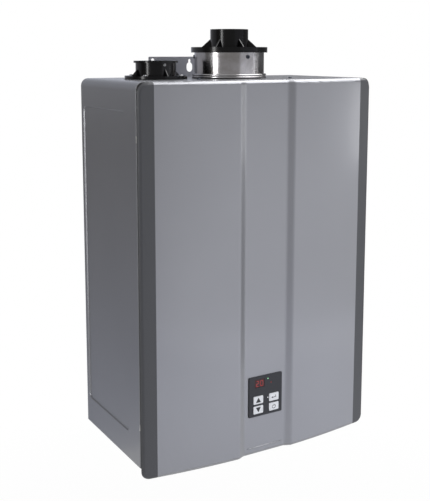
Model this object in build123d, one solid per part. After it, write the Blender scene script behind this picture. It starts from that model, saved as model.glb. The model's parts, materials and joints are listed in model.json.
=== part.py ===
from build123d import *
import os
from math import cos, hypot, radians, sin

# Wall-hung condensing tankless water heater with a lift-off bowed front cover.
# Frame: +Z up, front towards -Y, wall at y = 0. The origin is on the wall, on the case's
# centre line, at the upper bracket's bolt line. Depths run from the wall towards the
# front, heights run along Z, and all sizes are in millimetres.

# Case
CASE_W = 470.0
COVER_H = 661.8
CASE_FRONT = 230.7
SHEET = 1.0
CORNER_R = 13.5
BOLT_RISE = 31.5
COVER_DROP = 20.5
CASE_EDGE_R = 1.8
FRONT_FLANGE = 15.0
REAR_FLANGE = 13.0
TOP = -BOLT_RISE
COVER_BOTTOM = TOP - COVER_H
FLOOR = COVER_BOTTOM + COVER_DROP
SIDE = CASE_W / 2

# Pressed recess in each side panel
RECESS_DEEP = 2.0
RECESS_BACK = 11.0
RECESS_FRONT = 187.0
RECESS_LOW_EDGE = 47.3
RECESS_TOP_EDGE = 48.0
RECESS_R = 9.0
RECESS_SLOPE = 45.0

# Wall brackets
BRACKET_T = 2.0
BRACKET_X = -13.0
BRACKET_W = 173.0
BRACKET_CORNER_R = 2.0
BRACKET_LAP = 40.0
BRACKET_END = 6.3
BOLT_SPAN = 156.4
BOLT_HOLE_R = 3.5
KEY_SLOT_R = 2.85
KEY_SLOT_RISE = 2.1
KEY_HEAD_R = 6.65
KEY_HEAD_DROP = 15.8
KEY_HEAD_RUN = 5.0
LOWER_BOLT_DROP = 20.0
RIVET_R = 2.0
RIVET_HEAD_R = 4.0
RIVET_HEAD_H = 1.5
RIVET_SPAN = 110.0
RIVET_GAP = 0.1
BACK = BRACKET_T
BACK_FRONT = BACK + SHEET

# Front cover: bowed skin, sunk centre band, corner trims
SEAM = 3.0
COVER_SIDE_D = 3.8
BOW_RISE = 19.5
COVER_TOP_R = 18.5
COVER_LOW_R = 15.5
COVER_EDGE_R = 7.0
SKIN = 1.5
PAN = 1.0
TRIM_W = 26.5
TRIM_LAP = 9.0
BAND_SUNK = 6.6
BAND_FLAT = 42.3
BAND_EDGE = 55.5
BAND_CREASE_UP = 13.8
BAND_CREASE_W = 72.0
BAND_CREASE_H = 0.8
BAND_CREASE_DEEP = 0.5
BAND_CUT = 20.0
COVER_FLANGE = 16.0
GASKET_W = 11.0
GASKET_INSET = 0.4
GASKET_GAP = 0.3
COVER_BACK = CASE_FRONT + SEAM
COVER_D = COVER_BACK + COVER_SIDE_D + BOW_RISE
BOW_R = (SIDE ** 2 + BOW_RISE ** 2) / (2 * BOW_RISE)
BAND = COVER_D - BAND_SUNK

# Cover fixings
PIN_R = 3.0
PIN_X = 120.0
PIN_L = 11.0
PIN_GAP = 0.4
TAB_X = 150.0
TAB_W = 30.0
TAB_T = 1.5
TAB_REACH = 28.0
TAB_GAP = 0.3
SCREW_BACK = 16.0
SCREW_R = 2.4
SCREW_UP = 8.0
SCREW_HEAD_R = 4.5
SCREW_HEAD_H = 3.0
SCREW_GAP = 0.4

# Control panel on the band
PANEL_W = 70.0
PANEL_H = 73.0
PANEL_UP = 108.0
PANEL_T = 1.6
PANEL_LIP = 2.0
PANEL_R = 2.0
HOUSING_DEEP = 20.0
HOUSING_WALL = 1.6
HOUSING_GAP = 0.3
BOARD_T = 1.6
BOARD_POST = 8.0
BOARD_POST_R = 3.0
BUTTON_W = 20.0
BUTTON_H = 14.0
BUTTON_R = 1.5
BUTTON_PROUD = 0.9
BUTTON_GAP = 0.3
BUTTON_RIM = 0.9
BUTTON_RIM_T = 1.0
BUTTON_TRAVEL = 0.8
BUTTON_LEFT = -15.3
BUTTON_RIGHT = 17.6
BUTTON_UPPER = -6.4
BUTTON_LOWER = -24.2
SWITCH_W = 6.0
SWITCH_H = 3.5
DISPLAY_X = -12.2
DISPLAY_RISE = 23.7
DISPLAY_W = 20.4
DISPLAY_H = 14.9
DISPLAY_SUNK = 0.5
LAMP_R = 1.1
LAMP_GAP = 0.2
LAMP_PLACES = [(5.1, 29.3), (11.7, 21.2), (5.2, -5.7)]

# Flue collar, exhaust adapter and inner pipe
FLUE_DEPTH = 126.0
COLLAR_R = 62.5
COLLAR_WALL = 1.0
COLLAR_H = 44.5
COLLAR_BEAD_R = 66.5
COLLAR_BEAD_H = 3.6
COLLAR_BEAD_ROUND = 1.6
VENT_GASKET_T = 1.0
VENT_GASKET_W = 8.0
ADAPTER_FLANGE_R = 68.5
ADAPTER_FLANGE_H = 9.5
ADAPTER_SKIRT_H = 14.0
ADAPTER_SKIRT_T = 3.0
NECK_WALL = 3.7
NECK_H = 31.4
SOCKET_R = 30.3
SOCKET_STOP = 2.6
GUSSET_COUNT = 6
GUSSET_START = -90.0
GUSSET_REACH = 15.5
GUSSET_H = 14.0
GUSSET_T = 2.4
GUSSET_EDGE_R = 0.9
INNER_PIPE_R = 40.0
INNER_PIPE_WALL = 1.0
PIPE_LAP = 12.0
SLIP = 0.3
VENT_SCREW_R = 1.7
VENT_SCREW_L = 5.0
VENT_HEAD_R = 3.4
VENT_HEAD_TOP_R = 2.4
VENT_HEAD_H = 2.0
VENT_SCREW_GAP = 0.1
COLLAR_SCREW_DROP = 7.5
COLLAR_SCREW_ANGLES = [-90.0, 30.0, 150.0]
TOP_SCREW_X = 94.4
TOP_SCREW_DEPTH = 182.5

# Intake adapter
INTAKE_EDGE = 92.0
INTAKE_BACK = 8.0
INTAKE_FLANGE_R = 54.0
INTAKE_FLANGE_T = 5.0
INTAKE_NECK_WALL = 4.7
INTAKE_NECK_H = 25.5
INTAKE_RIM_R = 38.3
INTAKE_RIM_H = 3.5
INTAKE_GUSSET_COUNT = 4
INTAKE_GUSSET_REACH = 11.0
INTAKE_GUSSET_H = 12.0
INTAKE_SCREW_IN = 7.5
INTAKE_SCREW_ANGLES = [-140.0, -50.0, 40.0, 130.0]
INTAKE_X = INTAKE_EDGE - SIDE
INTAKE_DEPTH = FLUE_DEPTH - INTAKE_BACK

# Heat stack: hood, two heat exchangers and burner box, hung below the flue
STACK_DEPTH = 115.0
STACK_W = 240.0
STACK_D = 130.0
STACK_FLANGE = 8.0
STACK_SHEET = 1.5
HOOD_DROP = 30.0
HOOD_H = 40.0
SPIGOT_H = 24.0
SPIGOT_WALL = 1.2
SECONDARY_H = 110.0
PRIMARY_H = 150.0
BURNER_H = 95.0
SECONDARY_TUBE_R = 5.0
SECONDARY_TUBE_WALL = 1.0
SECONDARY_ROWS = 4
SECONDARY_COLUMNS = 5
SECONDARY_PITCH = 22.0
HEADER_T = 14.0
HEADER_H = 64.0
HEADER_D = 100.0
DRAIN_R = 6.0
DRAIN_UP = 10.0
DRAIN_DEPTH = 95.0
TUBE_R = 8.0
TUBE_WALL = 1.2
TUBE_COUNT = 5
TUBE_PITCH = 25.0
TUBE_UP = 100.0
TUBE_OUT = 6.0
TUBE_END = 16.0
TUBE_GAP = 0.2
FIN_T = 0.8
FIN_COUNT = 27
FIN_H = 52.0
FIN_GAP = 0.3
HOOD_TOP = TOP - HOOD_DROP
SECONDARY_TOP = HOOD_TOP - HOOD_H
PRIMARY_TOP = SECONDARY_TOP - SECONDARY_H
BURNER_TOP = PRIMARY_TOP - PRIMARY_H
BURNER_FLOOR = BURNER_TOP - BURNER_H
STACK_BACK = STACK_DEPTH - STACK_D / 2
STACK_FRONT = STACK_DEPTH + STACK_D / 2
STACK_SIDE = STACK_W / 2
TUBE_Z = BURNER_TOP + TUBE_UP

# Burner bars, nozzles and igniter
BAR_COUNT = 10
BAR_PITCH = 22.0
BAR_T = 13.0
BAR_H = 52.0
BAR_PORT = 2.0
BAR_PORT_DEEP = 6.0
BAR_SHEET = 1.0
NOZZLE_R = 3.0
NOZZLE_UP = 21.0
NOZZLE_IN = 5.0
NOZZLE_GAP = 0.6
MANIFOLD_SIZE = 16.0
MANIFOLD_OFF = 16.0
MANIFOLD_OVER = 13.0
MANIFOLD_FOOT = 5.0
IGNITER_X = 38.0
IGNITER_DROP = 24.0
IGNITER_SPAN = 18.0
IGNITER_PLATE_W = 44.0
IGNITER_PLATE_H = 18.0
CERAMIC_R = 4.0
CERAMIC_L = 26.0
ELECTRODE_R = 1.0
ELECTRODE_L = 22.0

# Combustion fan
FAN_DROP = 80.0
FAN_R = 65.0
FAN_D = 66.0
FAN_WALL = 2.0
FAN_INLET_R = 34.0
FAN_DUCT_W = 50.0
WHEEL_R = 52.0
WHEEL_D = 44.0
WHEEL_WALL = 2.0
WHEEL_BLADES = 20
BLADE_L = 14.0
BLADE_T = 1.6
BLADE_LEAN = 35.0
SHAFT_R = 4.0
SHAFT_HUB_R = 9.0
SHAFT_IN = 26.0
SHAFT_GAP = 0.06
SHAFT_PASS = 1.5
MOTOR_R = 33.0
MOTOR_L = 48.0
MOTOR_RIB_T = 2.5
MOTOR_RIB_OUT = 2.0
MOTOR_RIBS = 3
MOTOR_END_GAP = 1.0
FAN_Z = BURNER_FLOOR - FAN_DROP

# Brackets between the stack and the back plate
HANGER_X = 80.0
HANGER_W = 30.0
HANGER_H = 26.0
HANGER_T = 1.5

# Fittings through the bottom plate
FITTING_DEPTH = 100.0
FITTING_R = 13.35
FITTING_BORE_R = 9.5
FITTING_DOWN = 32.0
FITTING_UP = 28.0
FITTING_FLANGE_R = 22.0
FITTING_FLANGE_T = 4.0
FITTING_NUT_R = 19.0
FITTING_NUT_T = 5.0
FITTING_GAP = 0.5
GAS_X = -105.0
COLD_X = 100.0
HOT_EDGE = 70.0
HOT_X = SIDE - HOT_EDGE

# Gas valve and gas pipe
VALVE_W = 60.0
VALVE_D = 60.0
VALVE_H = 80.0
COIL_R = 18.0
VALVE_CHAMFER = 4.5
COIL_H = 48.0
COIL_CAP = 4.0
PLUNGER_R = 6.0
PLUNGER_GAP = 0.08
PLUNGER_L = 40.0
PLUNGER_TRAVEL = 3.0
GAS_PIPE_R = 8.5
GAS_PIPE_WALL = 1.5
GAS_PIPE_BEND = 26.0
GAS_PORT_UP = 22.0
GAS_ORIFICE_R = 4.0

# Water path
STRAINER_FLANGE_R = 15.0
STRAINER_T = 1.0
STRAINER_R = 8.5
STRAINER_L = 24.0
STRAINER_HOLE_R = 1.4
STRAINER_RINGS = 4
STRAINER_HOLES = 8
SENSOR_R = 19.0
SENSOR_H = 60.0
SENSOR_BORE_R = 12.5
SPIDER_T = 3.0
SPIDER_W = 3.0
SPINDLE_R = 2.0
SPINDLE_GAP = 0.06
TURBINE_R = 11.5
TURBINE_HUB_R = 4.5
TURBINE_H = 18.0
TURBINE_BLADES = 6
TURBINE_BLADE_T = 1.4
TURBINE_LEAN = 28.0
TURBINE_FLOAT = 0.3
WATER_VALVE_W = 50.0
WATER_VALVE_H = 52.0
WATER_BORE_R = 11.0
WATER_ROOF = 5.0
WATER_CHAMFER = 4.0
STEM_R = 4.0
STEM_GAP = 0.06
STEM_OUT = 26.0
STEM_LEVER_L = 22.0
STEM_LEVER_W = 10.0
STEM_LEVER_T = 5.0
STEM_COLLAR_GAP = 0.3
DISC_T = 2.4
DISC_GAP = 0.5
WATER_PIPE_R = 8.0
WATER_PIPE_WALL = 1.2
WATER_BEND = 22.0
COLD_RUN_EDGE = 40.0
TRANSFER_RUN = 32.0
HOT_RUN = 24.0
HOT_LOW_UP = 76.0
COLD_RUN_X = SIDE - COLD_RUN_EDGE

# Condensate trap and hose
TRAP_EDGE = 53.0
TRAP_DEPTH = 95.0
TRAP_W = 62.0
TRAP_D = 70.0
TRAP_H = 138.0
TRAP_WALL = 2.5
TRAP_ROUND = 8.0
TRAP_NOZZLE_H = 16.0
TRAP_COLLAR_R = 12.0
TRAP_COLLAR_DOWN = 2.0
TRAP_SPIGOT_R = 10.65
TRAP_SPIGOT_BORE_R = 8.0
TRAP_SPIGOT_DOWN = 30.0
HOSE_R = 10.0
HOSE_BORE_R = 7.0
HOSE_BEND = 40.0
HOSE_END = 4.0
TRAP_X = TRAP_EDGE - SIDE

# Electrics on the side walls
BOARD_CASE_W = 80.0
BOARD_CASE_H = 300.0
BOARD_CASE_CLEAR = 3.0
BOARD_CASE_D = 40.0
BOARD_CASE_WALL = 2.0
BOARD_CASE_DROP = 180.0
MAIN_POST = 10.0
MAIN_POST_R = 4.0
MAIN_EDGE = 4.0
BOARD_PARTS = [
    (0.35, 0.14, 36.0, 16.0, 40.0),
    (0.80, 0.12, 16.0, 12.0, 28.0),
    (0.25, 0.36, 20.0, 12.0, 16.0),
    (0.60, 0.36, 20.0, 12.0, 16.0),
    (0.50, 0.62, 16.0, 4.0, 16.0),
    (0.50, 0.93, 56.0, 8.0, 9.0),
    (0.10, 0.75, 8.0, 8.0, 46.0),
]
BOARD_CAPACITORS = [(0.25, 0.50), (0.50, 0.50), (0.80, 0.55)]
CAPACITOR_R = 6.0
CAPACITOR_L = 15.0
SPARK_W = 38.0
SPARK_H = 80.0
SPARK_D = 55.0
SPARK_BACK = 140.0
SPARK_DROP = 280.0
SPARK_R = 5.0
GLAND_EDGE = 30.0
GLAND_R = 11.0
GLAND_BORE_R = 5.0
GLAND_HEAD_R = 15.0
GLAND_HEAD_H = 7.0
GLAND_DOME_H = 9.0
GLAND_NUT_R = 14.0
GLAND_NUT_H = 6.0
GLAND_GAP = 0.3
GLAND_X = SIDE - GLAND_EDGE
WALL_FACE = SIDE - RECESS_DEEP - SHEET
TUBE_BANK_FRONT = STACK_DEPTH + TUBE_PITCH * (TUBE_COUNT - 1) / 2 + TUBE_R
BOARD_CASE_BACK = TUBE_BANK_FRONT + BOARD_CASE_CLEAR
REACH = 2 * (CASE_W + COVER_H)


def block(x0, x1, depth0, depth1, z0, z1):
    """A box between two widths, two depths from the wall and two heights."""
    centre = Pos((x0 + x1) / 2, -(depth0 + depth1) / 2, (z0 + z1) / 2)
    return centre * Box(x1 - x0, depth1 - depth0, z1 - z0)


def post(x, depth, z0, z1, radius):
    """A round bar that stands upright."""
    return Pos(x, -depth, (z0 + z1) / 2) * Cylinder(radius, z1 - z0)


def peg(x, z, depth0, depth1, radius):
    """A round bar that points to the front."""
    return Pos(x, -(depth0 + depth1) / 2, z) * Rot(90, 0, 0) * Cylinder(radius, depth1 - depth0)


def bar(x0, x1, depth, z, radius):
    """A round bar that lies across the case."""
    return Pos((x0 + x1) / 2, -depth, z) * Rot(0, 90, 0) * Cylinder(radius, x1 - x0)


def plate(depth0, depth1, face):
    """A front-view face made solid between two depths."""
    return extrude(Plane.XZ.offset(depth0) * face, depth1 - depth0)


def turned(x, depth, profile):
    """A solid of revolution on an upright axis, from (radius, height) points."""
    face = make_face(Polyline(*profile, close=True))
    return Pos(x, -depth, 0) * revolve(Plane.XZ * face, Axis.Z)


def ring(x, depth, z0, z1, outer, inner):
    """A round tube or washer that stands upright."""
    return turned(x, depth, [(inner, z0), (outer, z0), (outer, z1), (inner, z1)])


def tube(points, bend, outer, inner):
    """A bent tube along (x, depth, z) points, with one bend radius."""
    route = FilletPolyline(*[(x, -depth, z) for x, depth, z in points], radius=bend)
    section = Circle(outer) - Circle(inner)
    return sweep(Plane(origin=route @ 0, z_dir=route % 0) * section, path=route)


def rounded_face(x, z, width, height, radius):
    """A rounded rectangle in front view."""
    return Pos(x, z) * RectangleRounded(width, height, radius)


def open_box(z0, z1):
    """A flanged sheet-metal box of the heat stack, open above and below."""
    side = STACK_SIDE
    outer = block(-side, side, STACK_BACK, STACK_FRONT, z0, z1)
    for low, high in ((z0, z0 + STACK_SHEET), (z1 - STACK_SHEET, z1)):
        rim = STACK_FLANGE
        outer += block(-side - rim, side + rim, STACK_BACK - rim, STACK_FRONT + rim, low, high)
    wall = STACK_SHEET
    inner = block(-side + wall, side - wall, STACK_BACK + wall, STACK_FRONT - wall, z0, z1)
    return outer - inner


def case_face(inset):
    """The case in front view, drawn in by inset at the sides and the top."""
    face = Rectangle(CASE_W - 2 * inset, TOP - FLOOR - inset, align=(Align.CENTER, Align.MIN))
    corners = face.vertices().sort_by(Axis.Y)[-2:]
    radius = max(CORNER_R - inset, SHEET)
    return Pos(0, FLOOR) * fillet(corners, radius)


def side_recess(hand):
    """The pressed recess of one side panel: what it adds inside and what it takes away."""
    width = RECESS_FRONT - RECESS_BACK
    low = FLOOR + RECESS_LOW_EDGE
    high = TOP - RECESS_TOP_EDGE
    centre = Plane(origin=(hand * SIDE, -(RECESS_BACK + RECESS_FRONT) / 2, (low + high) / 2),
                   x_dir=(0, 1, 0), z_dir=(-hand, 0, 0))
    wall = SHEET / cos(radians(RECESS_SLOPE))
    floor = RectangleRounded(width, high - low, RECESS_R)
    back = RectangleRounded(width + 2 * wall, high - low + 2 * wall, RECESS_R + wall)
    added = extrude(centre * back, RECESS_DEEP + SHEET, taper=RECESS_SLOPE)
    return added, extrude(centre * floor, RECESS_DEEP, taper=RECESS_SLOPE)


def case_wrap():
    """Sides and top in one folded sheet, before it is parted into panels."""
    wrap = plate(BACK, CASE_FRONT, case_face(0))
    rim = wrap.faces().sort_by(Axis.Y)[0].edges().sort_by(Axis.Z)[1:]
    wrap = fillet(rim, CASE_EDGE_R)
    wrap -= plate(BACK, CASE_FRONT - SHEET, case_face(SHEET))
    wrap -= plate(CASE_FRONT - SHEET, CASE_FRONT, case_face(FRONT_FLANGE))
    wrap += plate(BACK_FRONT, BACK_FRONT + SHEET, case_face(SHEET) - case_face(REAR_FLANGE))
    for hand in (-1, 1):
        added, taken = side_recess(hand)
        wrap = wrap + added - taken
    return wrap - block(-SIDE + SHEET, SIDE - SHEET, BACK_FRONT, CASE_FRONT, FLOOR, FLOOR + SHEET)


def case_panels():
    """Left side, right side and top panel, with the vent openings and screw holes."""
    wrap = case_wrap()
    parting = SIDE - CORNER_R
    left = wrap & block(-REACH, -parting, -REACH, REACH, -REACH, REACH)
    right = wrap & block(parting, REACH, -REACH, REACH, -REACH, REACH)
    top = wrap & block(-parting, parting, -REACH, REACH, TOP - CORNER_R, TOP)
    flue_hole = INNER_PIPE_R + SLIP + SPIGOT_WALL + SLIP
    top -= post(0, FLUE_DEPTH, TOP - SHEET, TOP, flue_hole)
    top -= post(INTAKE_X, INTAKE_DEPTH, TOP - SHEET, TOP, SOCKET_R - SOCKET_STOP)
    for x, depth in intake_screw_places() + top_screw_places():
        top -= post(x, depth, TOP - SHEET, TOP, VENT_SCREW_R + VENT_SCREW_GAP)
    return left, right, top


def back_plate():
    """The flat rear sheet, with rivet holes for both wall brackets."""
    sheet = plate(BACK, BACK_FRONT, case_face(SHEET))
    for x, z in rivet_places():
        sheet -= peg(x, z, BACK, BACK_FRONT, RIVET_R + RIVET_GAP)
    return sheet


def fitting_places():
    """Each passage through the bottom plate: x, depth and hole radius."""
    pipe_hole = FITTING_R + FITTING_GAP
    places = [(x, FITTING_DEPTH, pipe_hole) for x in (GAS_X, COLD_X, HOT_X)]
    places.append((TRAP_X, TRAP_DEPTH, TRAP_COLLAR_R + FITTING_GAP))
    places.append((GLAND_X, FITTING_DEPTH, GLAND_R + GLAND_GAP))
    return places


def bottom_plate():
    """The floor sheet with an upturned front edge, pipe holes and open screw slots."""
    side = SIDE - SHEET
    sheet = block(-side, side, BACK_FRONT, CASE_FRONT, FLOOR, FLOOR + SHEET)
    edge = side - FRONT_FLANGE + SHEET
    sheet += block(-edge, edge, CASE_FRONT - SHEET, CASE_FRONT, FLOOR, FLOOR + FRONT_FLANGE)
    for x, depth, radius in fitting_places():
        sheet -= post(x, depth, FLOOR, FLOOR + SHEET, radius)
    slot = SCREW_R + SCREW_GAP
    back = CASE_FRONT - SCREW_BACK - slot
    for x in (-TAB_X, TAB_X):
        top = FLOOR + SCREW_UP + SCREW_GAP
        sheet -= block(x - slot, x + slot, back, CASE_FRONT, FLOOR, top)
    return sheet


def rivet_places():
    """Rivet centres of both brackets, in x and z."""
    heights = [TOP - BRACKET_LAP / 2, FLOOR + BRACKET_LAP / 2]
    spots = [BRACKET_X - RIVET_SPAN / 2, BRACKET_X + RIVET_SPAN / 2]
    return [(x, z) for x in spots for z in heights]


def bracket(z0, z1, bolt_z):
    """One wall bracket: a plate with two bolt holes and rivet holes."""
    face = rounded_face(BRACKET_X, (z0 + z1) / 2, BRACKET_W, z1 - z0, BRACKET_CORNER_R)
    for hand in (-1, 1):
        face -= Pos(BRACKET_X + hand * BOLT_SPAN / 2, bolt_z) * Circle(BOLT_HOLE_R)
    for x, z in rivet_places():
        if z0 < z < z1:
            face -= Pos(x, z) * Circle(RIVET_R + RIVET_GAP)
    return face


def upper_wall_bracket():
    """The upper bracket, with a keyhole to hang the heater on one screw."""
    face = bracket(TOP - BRACKET_LAP, BRACKET_END, 0)
    head_mid = KEY_HEAD_RUN / 2 - KEY_HEAD_DROP
    face -= Pos(BRACKET_X, -KEY_HEAD_DROP) * Circle(KEY_HEAD_R)
    face -= Pos(BRACKET_X, head_mid) * Rectangle(2 * KEY_HEAD_R, KEY_HEAD_RUN)
    face -= Pos(BRACKET_X, KEY_HEAD_RUN - KEY_HEAD_DROP) * Circle(KEY_HEAD_R)
    slot_top = KEY_SLOT_RISE - KEY_SLOT_R
    slot_mid = (slot_top - KEY_HEAD_DROP) / 2
    face -= Pos(BRACKET_X, slot_mid) * Rectangle(2 * KEY_SLOT_R, slot_top + KEY_HEAD_DROP)
    face -= Pos(BRACKET_X, slot_top) * Circle(KEY_SLOT_R)
    return plate(0, BRACKET_T, face)


def lower_wall_bracket():
    """The lower bracket, below the bottom plate at the back."""
    bolt_z = FLOOR - LOWER_BOLT_DROP
    return plate(0, BRACKET_T, bracket(bolt_z - BRACKET_END, FLOOR + BRACKET_LAP, bolt_z))


def intake_screw_places():
    """Screw centres on the intake flange, in x and depth."""
    reach = INTAKE_FLANGE_R - INTAKE_SCREW_IN
    return [(INTAKE_X + reach * cos(radians(a)), INTAKE_DEPTH - reach * sin(radians(a)))
            for a in INTAKE_SCREW_ANGLES]


def top_screw_places():
    """Screws that hold the hood's strap to the top panel, in x and depth."""
    return [(-TOP_SCREW_X, TOP_SCREW_DEPTH), (TOP_SCREW_X, TOP_SCREW_DEPTH)]


def down_screw(x, depth, seat, length):
    """A pan-head screw that points down from its seat."""
    head = [(0, seat + VENT_HEAD_H), (VENT_HEAD_TOP_R, seat + VENT_HEAD_H), (VENT_HEAD_R, seat)]
    shank = [(VENT_SCREW_R, seat), (VENT_SCREW_R, seat - length), (0, seat - length)]
    return turned(x, depth, head + shank)


def case_fasteners():
    """Rivets, vent screws, top screws and the cover's locating pins, one solid each."""
    pieces = []
    for x, z in rivet_places():
        shank = peg(x, z, RIVET_GAP, BACK_FRONT, RIVET_R)
        pieces.append(shank + peg(x, z, BACK_FRONT, BACK_FRONT + RIVET_HEAD_H, RIVET_HEAD_R))
    seat = TOP + VENT_GASKET_T + INTAKE_FLANGE_T
    for x, depth in intake_screw_places():
        pieces.append(down_screw(x, depth, seat, seat - TOP + VENT_SCREW_L))
    for x, depth in top_screw_places():
        pieces.append(down_screw(x, depth, TOP, VENT_SCREW_L))
    for angle in COLLAR_SCREW_ANGLES:
        screw = Rot(0, 90, 0) * down_screw(0, 0, COLLAR_R, VENT_SCREW_L)
        lift = TOP + VENT_GASKET_T + COLLAR_H - COLLAR_SCREW_DROP
        pieces.append(Pos(0, -FLUE_DEPTH, lift) * Rot(0, 0, angle) * screw)
    for x in (-PIN_X, PIN_X):
        pieces.append(peg(x, pin_height(), CASE_FRONT, CASE_FRONT + PIN_L, PIN_R))
    return Compound(pieces)


def pin_height():
    """The height of the locating pins, in the middle of the gasket strip."""
    return TOP - GASKET_INSET - GASKET_W / 2


def collar_screw_holes(radius):
    """Bars that cut the collar's three radial screw holes."""
    lift = TOP + VENT_GASKET_T + COLLAR_H - COLLAR_SCREW_DROP
    length = VENT_SCREW_L + SLIP
    holes = []
    for angle in COLLAR_SCREW_ANGLES:
        hole = bar(COLLAR_R - length, COLLAR_R, 0, 0, radius)
        holes.append(Pos(0, -FLUE_DEPTH, lift) * Rot(0, 0, angle) * hole)
    return holes


def flue_collar():
    """The plain metal collar with two rolled beads at its foot."""
    foot = TOP + VENT_GASKET_T
    wall = ring(0, FLUE_DEPTH, foot, foot + COLLAR_H, COLLAR_R, COLLAR_R - COLLAR_WALL)
    for step in (0, 1):
        low = foot + step * COLLAR_BEAD_H
        bead = ring(0, FLUE_DEPTH, low, low + COLLAR_BEAD_H, COLLAR_BEAD_R, COLLAR_R - COLLAR_WALL)
        outer = bead.edges().filter_by(GeomType.CIRCLE).sort_by(lambda e: e.radius)[-2:]
        wall += fillet(outer, COLLAR_BEAD_ROUND)
    for hole in collar_screw_holes(VENT_SCREW_R + VENT_SCREW_GAP):
        wall -= hole
    return wall


def vent_gaskets():
    """Flat seals below the collar and below the intake flange."""
    flue_hole = COLLAR_BEAD_R - VENT_GASKET_W
    seals = [ring(0, FLUE_DEPTH, TOP, TOP + VENT_GASKET_T, COLLAR_BEAD_R, flue_hole)]
    intake = ring(INTAKE_X, INTAKE_DEPTH, TOP, TOP + VENT_GASKET_T, INTAKE_FLANGE_R,
                  SOCKET_R - SOCKET_STOP)
    for x, depth in intake_screw_places():
        intake -= post(x, depth, TOP, TOP + VENT_GASKET_T, VENT_SCREW_R + VENT_SCREW_GAP)
    return Compound(seals + [intake])


def flue_inner_pipe():
    """The exhaust pipe between the hood's spigot and the adapter's skirt."""
    low = HOOD_TOP
    high = TOP + VENT_GASKET_T + COLLAR_H - SLIP
    return ring(0, FLUE_DEPTH, low, high, INNER_PIPE_R, INNER_PIPE_R - INNER_PIPE_WALL)


def gussets(neck_r, foot, reach, height, count):
    """Triangular ribs between a neck and its flange, about the origin's upright axis."""
    web = make_face(Polyline((neck_r - NECK_WALL / 2, foot), (neck_r + reach, foot),
                             (neck_r, foot + height), (neck_r - NECK_WALL / 2, foot + height),
                             close=True))
    rib = Pos(0, GUSSET_T / 2, 0) * extrude(Plane.XZ * web, GUSSET_T)
    slants = [edge for edge in rib.edges() if abs(edge.tangent_at(0.5).X * edge.tangent_at(0.5).Z) > 0.1]
    rib = fillet(slants, GUSSET_EDGE_R)
    return [Rot(0, 0, GUSSET_START + 360 * i / count) * rib for i in range(count)]


def exhaust_adapter():
    """The black adapter: flange on the collar, socket above, two skirts below."""
    foot = TOP + VENT_GASKET_T + COLLAR_H
    face = foot + ADAPTER_FLANGE_H
    neck_r = SOCKET_R + NECK_WALL
    bore = SOCKET_R - SOCKET_STOP
    skirt = INNER_PIPE_R - INNER_PIPE_WALL - SLIP
    body = ring(0, FLUE_DEPTH, foot, face, ADAPTER_FLANGE_R, bore)
    body += ring(0, FLUE_DEPTH, foot - PIPE_LAP, foot, skirt, bore)
    outer = COLLAR_R - COLLAR_WALL - SLIP
    body += ring(0, FLUE_DEPTH, foot - ADAPTER_SKIRT_H, foot, outer, outer - ADAPTER_SKIRT_T)
    body += ring(0, FLUE_DEPTH, face, face + NECK_H, neck_r, bore)
    for rib in gussets(neck_r, face, GUSSET_REACH, GUSSET_H, GUSSET_COUNT):
        body += Pos(0, -FLUE_DEPTH, 0) * rib
    body -= post(0, FLUE_DEPTH, face - SOCKET_STOP, face + NECK_H, SOCKET_R)
    for hole in collar_screw_holes(VENT_SCREW_R + VENT_SCREW_GAP):
        body -= hole
    return body


def intake_adapter():
    """The black air intake: screwed flange, ribbed neck and a rim."""
    foot = TOP + VENT_GASKET_T
    face = foot + INTAKE_FLANGE_T
    end = face + INTAKE_NECK_H
    neck_r = SOCKET_R + INTAKE_NECK_WALL
    bore = SOCKET_R - SOCKET_STOP
    body = ring(INTAKE_X, INTAKE_DEPTH, foot, face, INTAKE_FLANGE_R, bore)
    body += ring(INTAKE_X, INTAKE_DEPTH, face, end, neck_r, bore)
    body += ring(INTAKE_X, INTAKE_DEPTH, end - INTAKE_RIM_H, end, INTAKE_RIM_R, bore)
    for rib in gussets(neck_r, face, INTAKE_GUSSET_REACH, INTAKE_GUSSET_H, INTAKE_GUSSET_COUNT):
        body += Pos(INTAKE_X, -INTAKE_DEPTH, 0) * rib
    body -= post(INTAKE_X, INTAKE_DEPTH, face - SOCKET_STOP, end, SOCKET_R)
    for x, depth in intake_screw_places():
        body -= post(x, depth, foot, face, VENT_SCREW_R + VENT_SCREW_GAP)
    return body


def exhaust_hood():
    """The collecting hood over the stack, with a spigot for the flue pipe."""
    hood = open_box(SECONDARY_TOP, HOOD_TOP)
    side = STACK_SIDE
    hood += block(-side, side, STACK_BACK, STACK_FRONT, HOOD_TOP - STACK_SHEET, HOOD_TOP)
    inner = INNER_PIPE_R + SLIP
    hood += ring(0, FLUE_DEPTH, HOOD_TOP, HOOD_TOP + SPIGOT_H, inner + SPIGOT_WALL, inner)
    return hood - post(0, FLUE_DEPTH, SECONDARY_TOP, HOOD_TOP, INNER_PIPE_R - INNER_PIPE_WALL)


def secondary_shell():
    """The condensing heat exchanger's shell, with end headers and a condensate drain."""
    shell = open_box(PRIMARY_TOP, SECONDARY_TOP)
    mid = (PRIMARY_TOP + SECONDARY_TOP) / 2
    half = HEADER_H / 2
    near = STACK_DEPTH - HEADER_D / 2
    far = STACK_DEPTH + HEADER_D / 2
    end = STACK_SIDE + HEADER_T
    shell += block(-end, -STACK_SIDE, near, far, mid - half, mid + half)
    shell += block(STACK_SIDE, end, near, far, mid - half, mid + half)
    drain_z = PRIMARY_TOP + DRAIN_UP
    shell += bar(-end, -STACK_SIDE, DRAIN_DEPTH, drain_z, DRAIN_R)
    return shell


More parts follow.
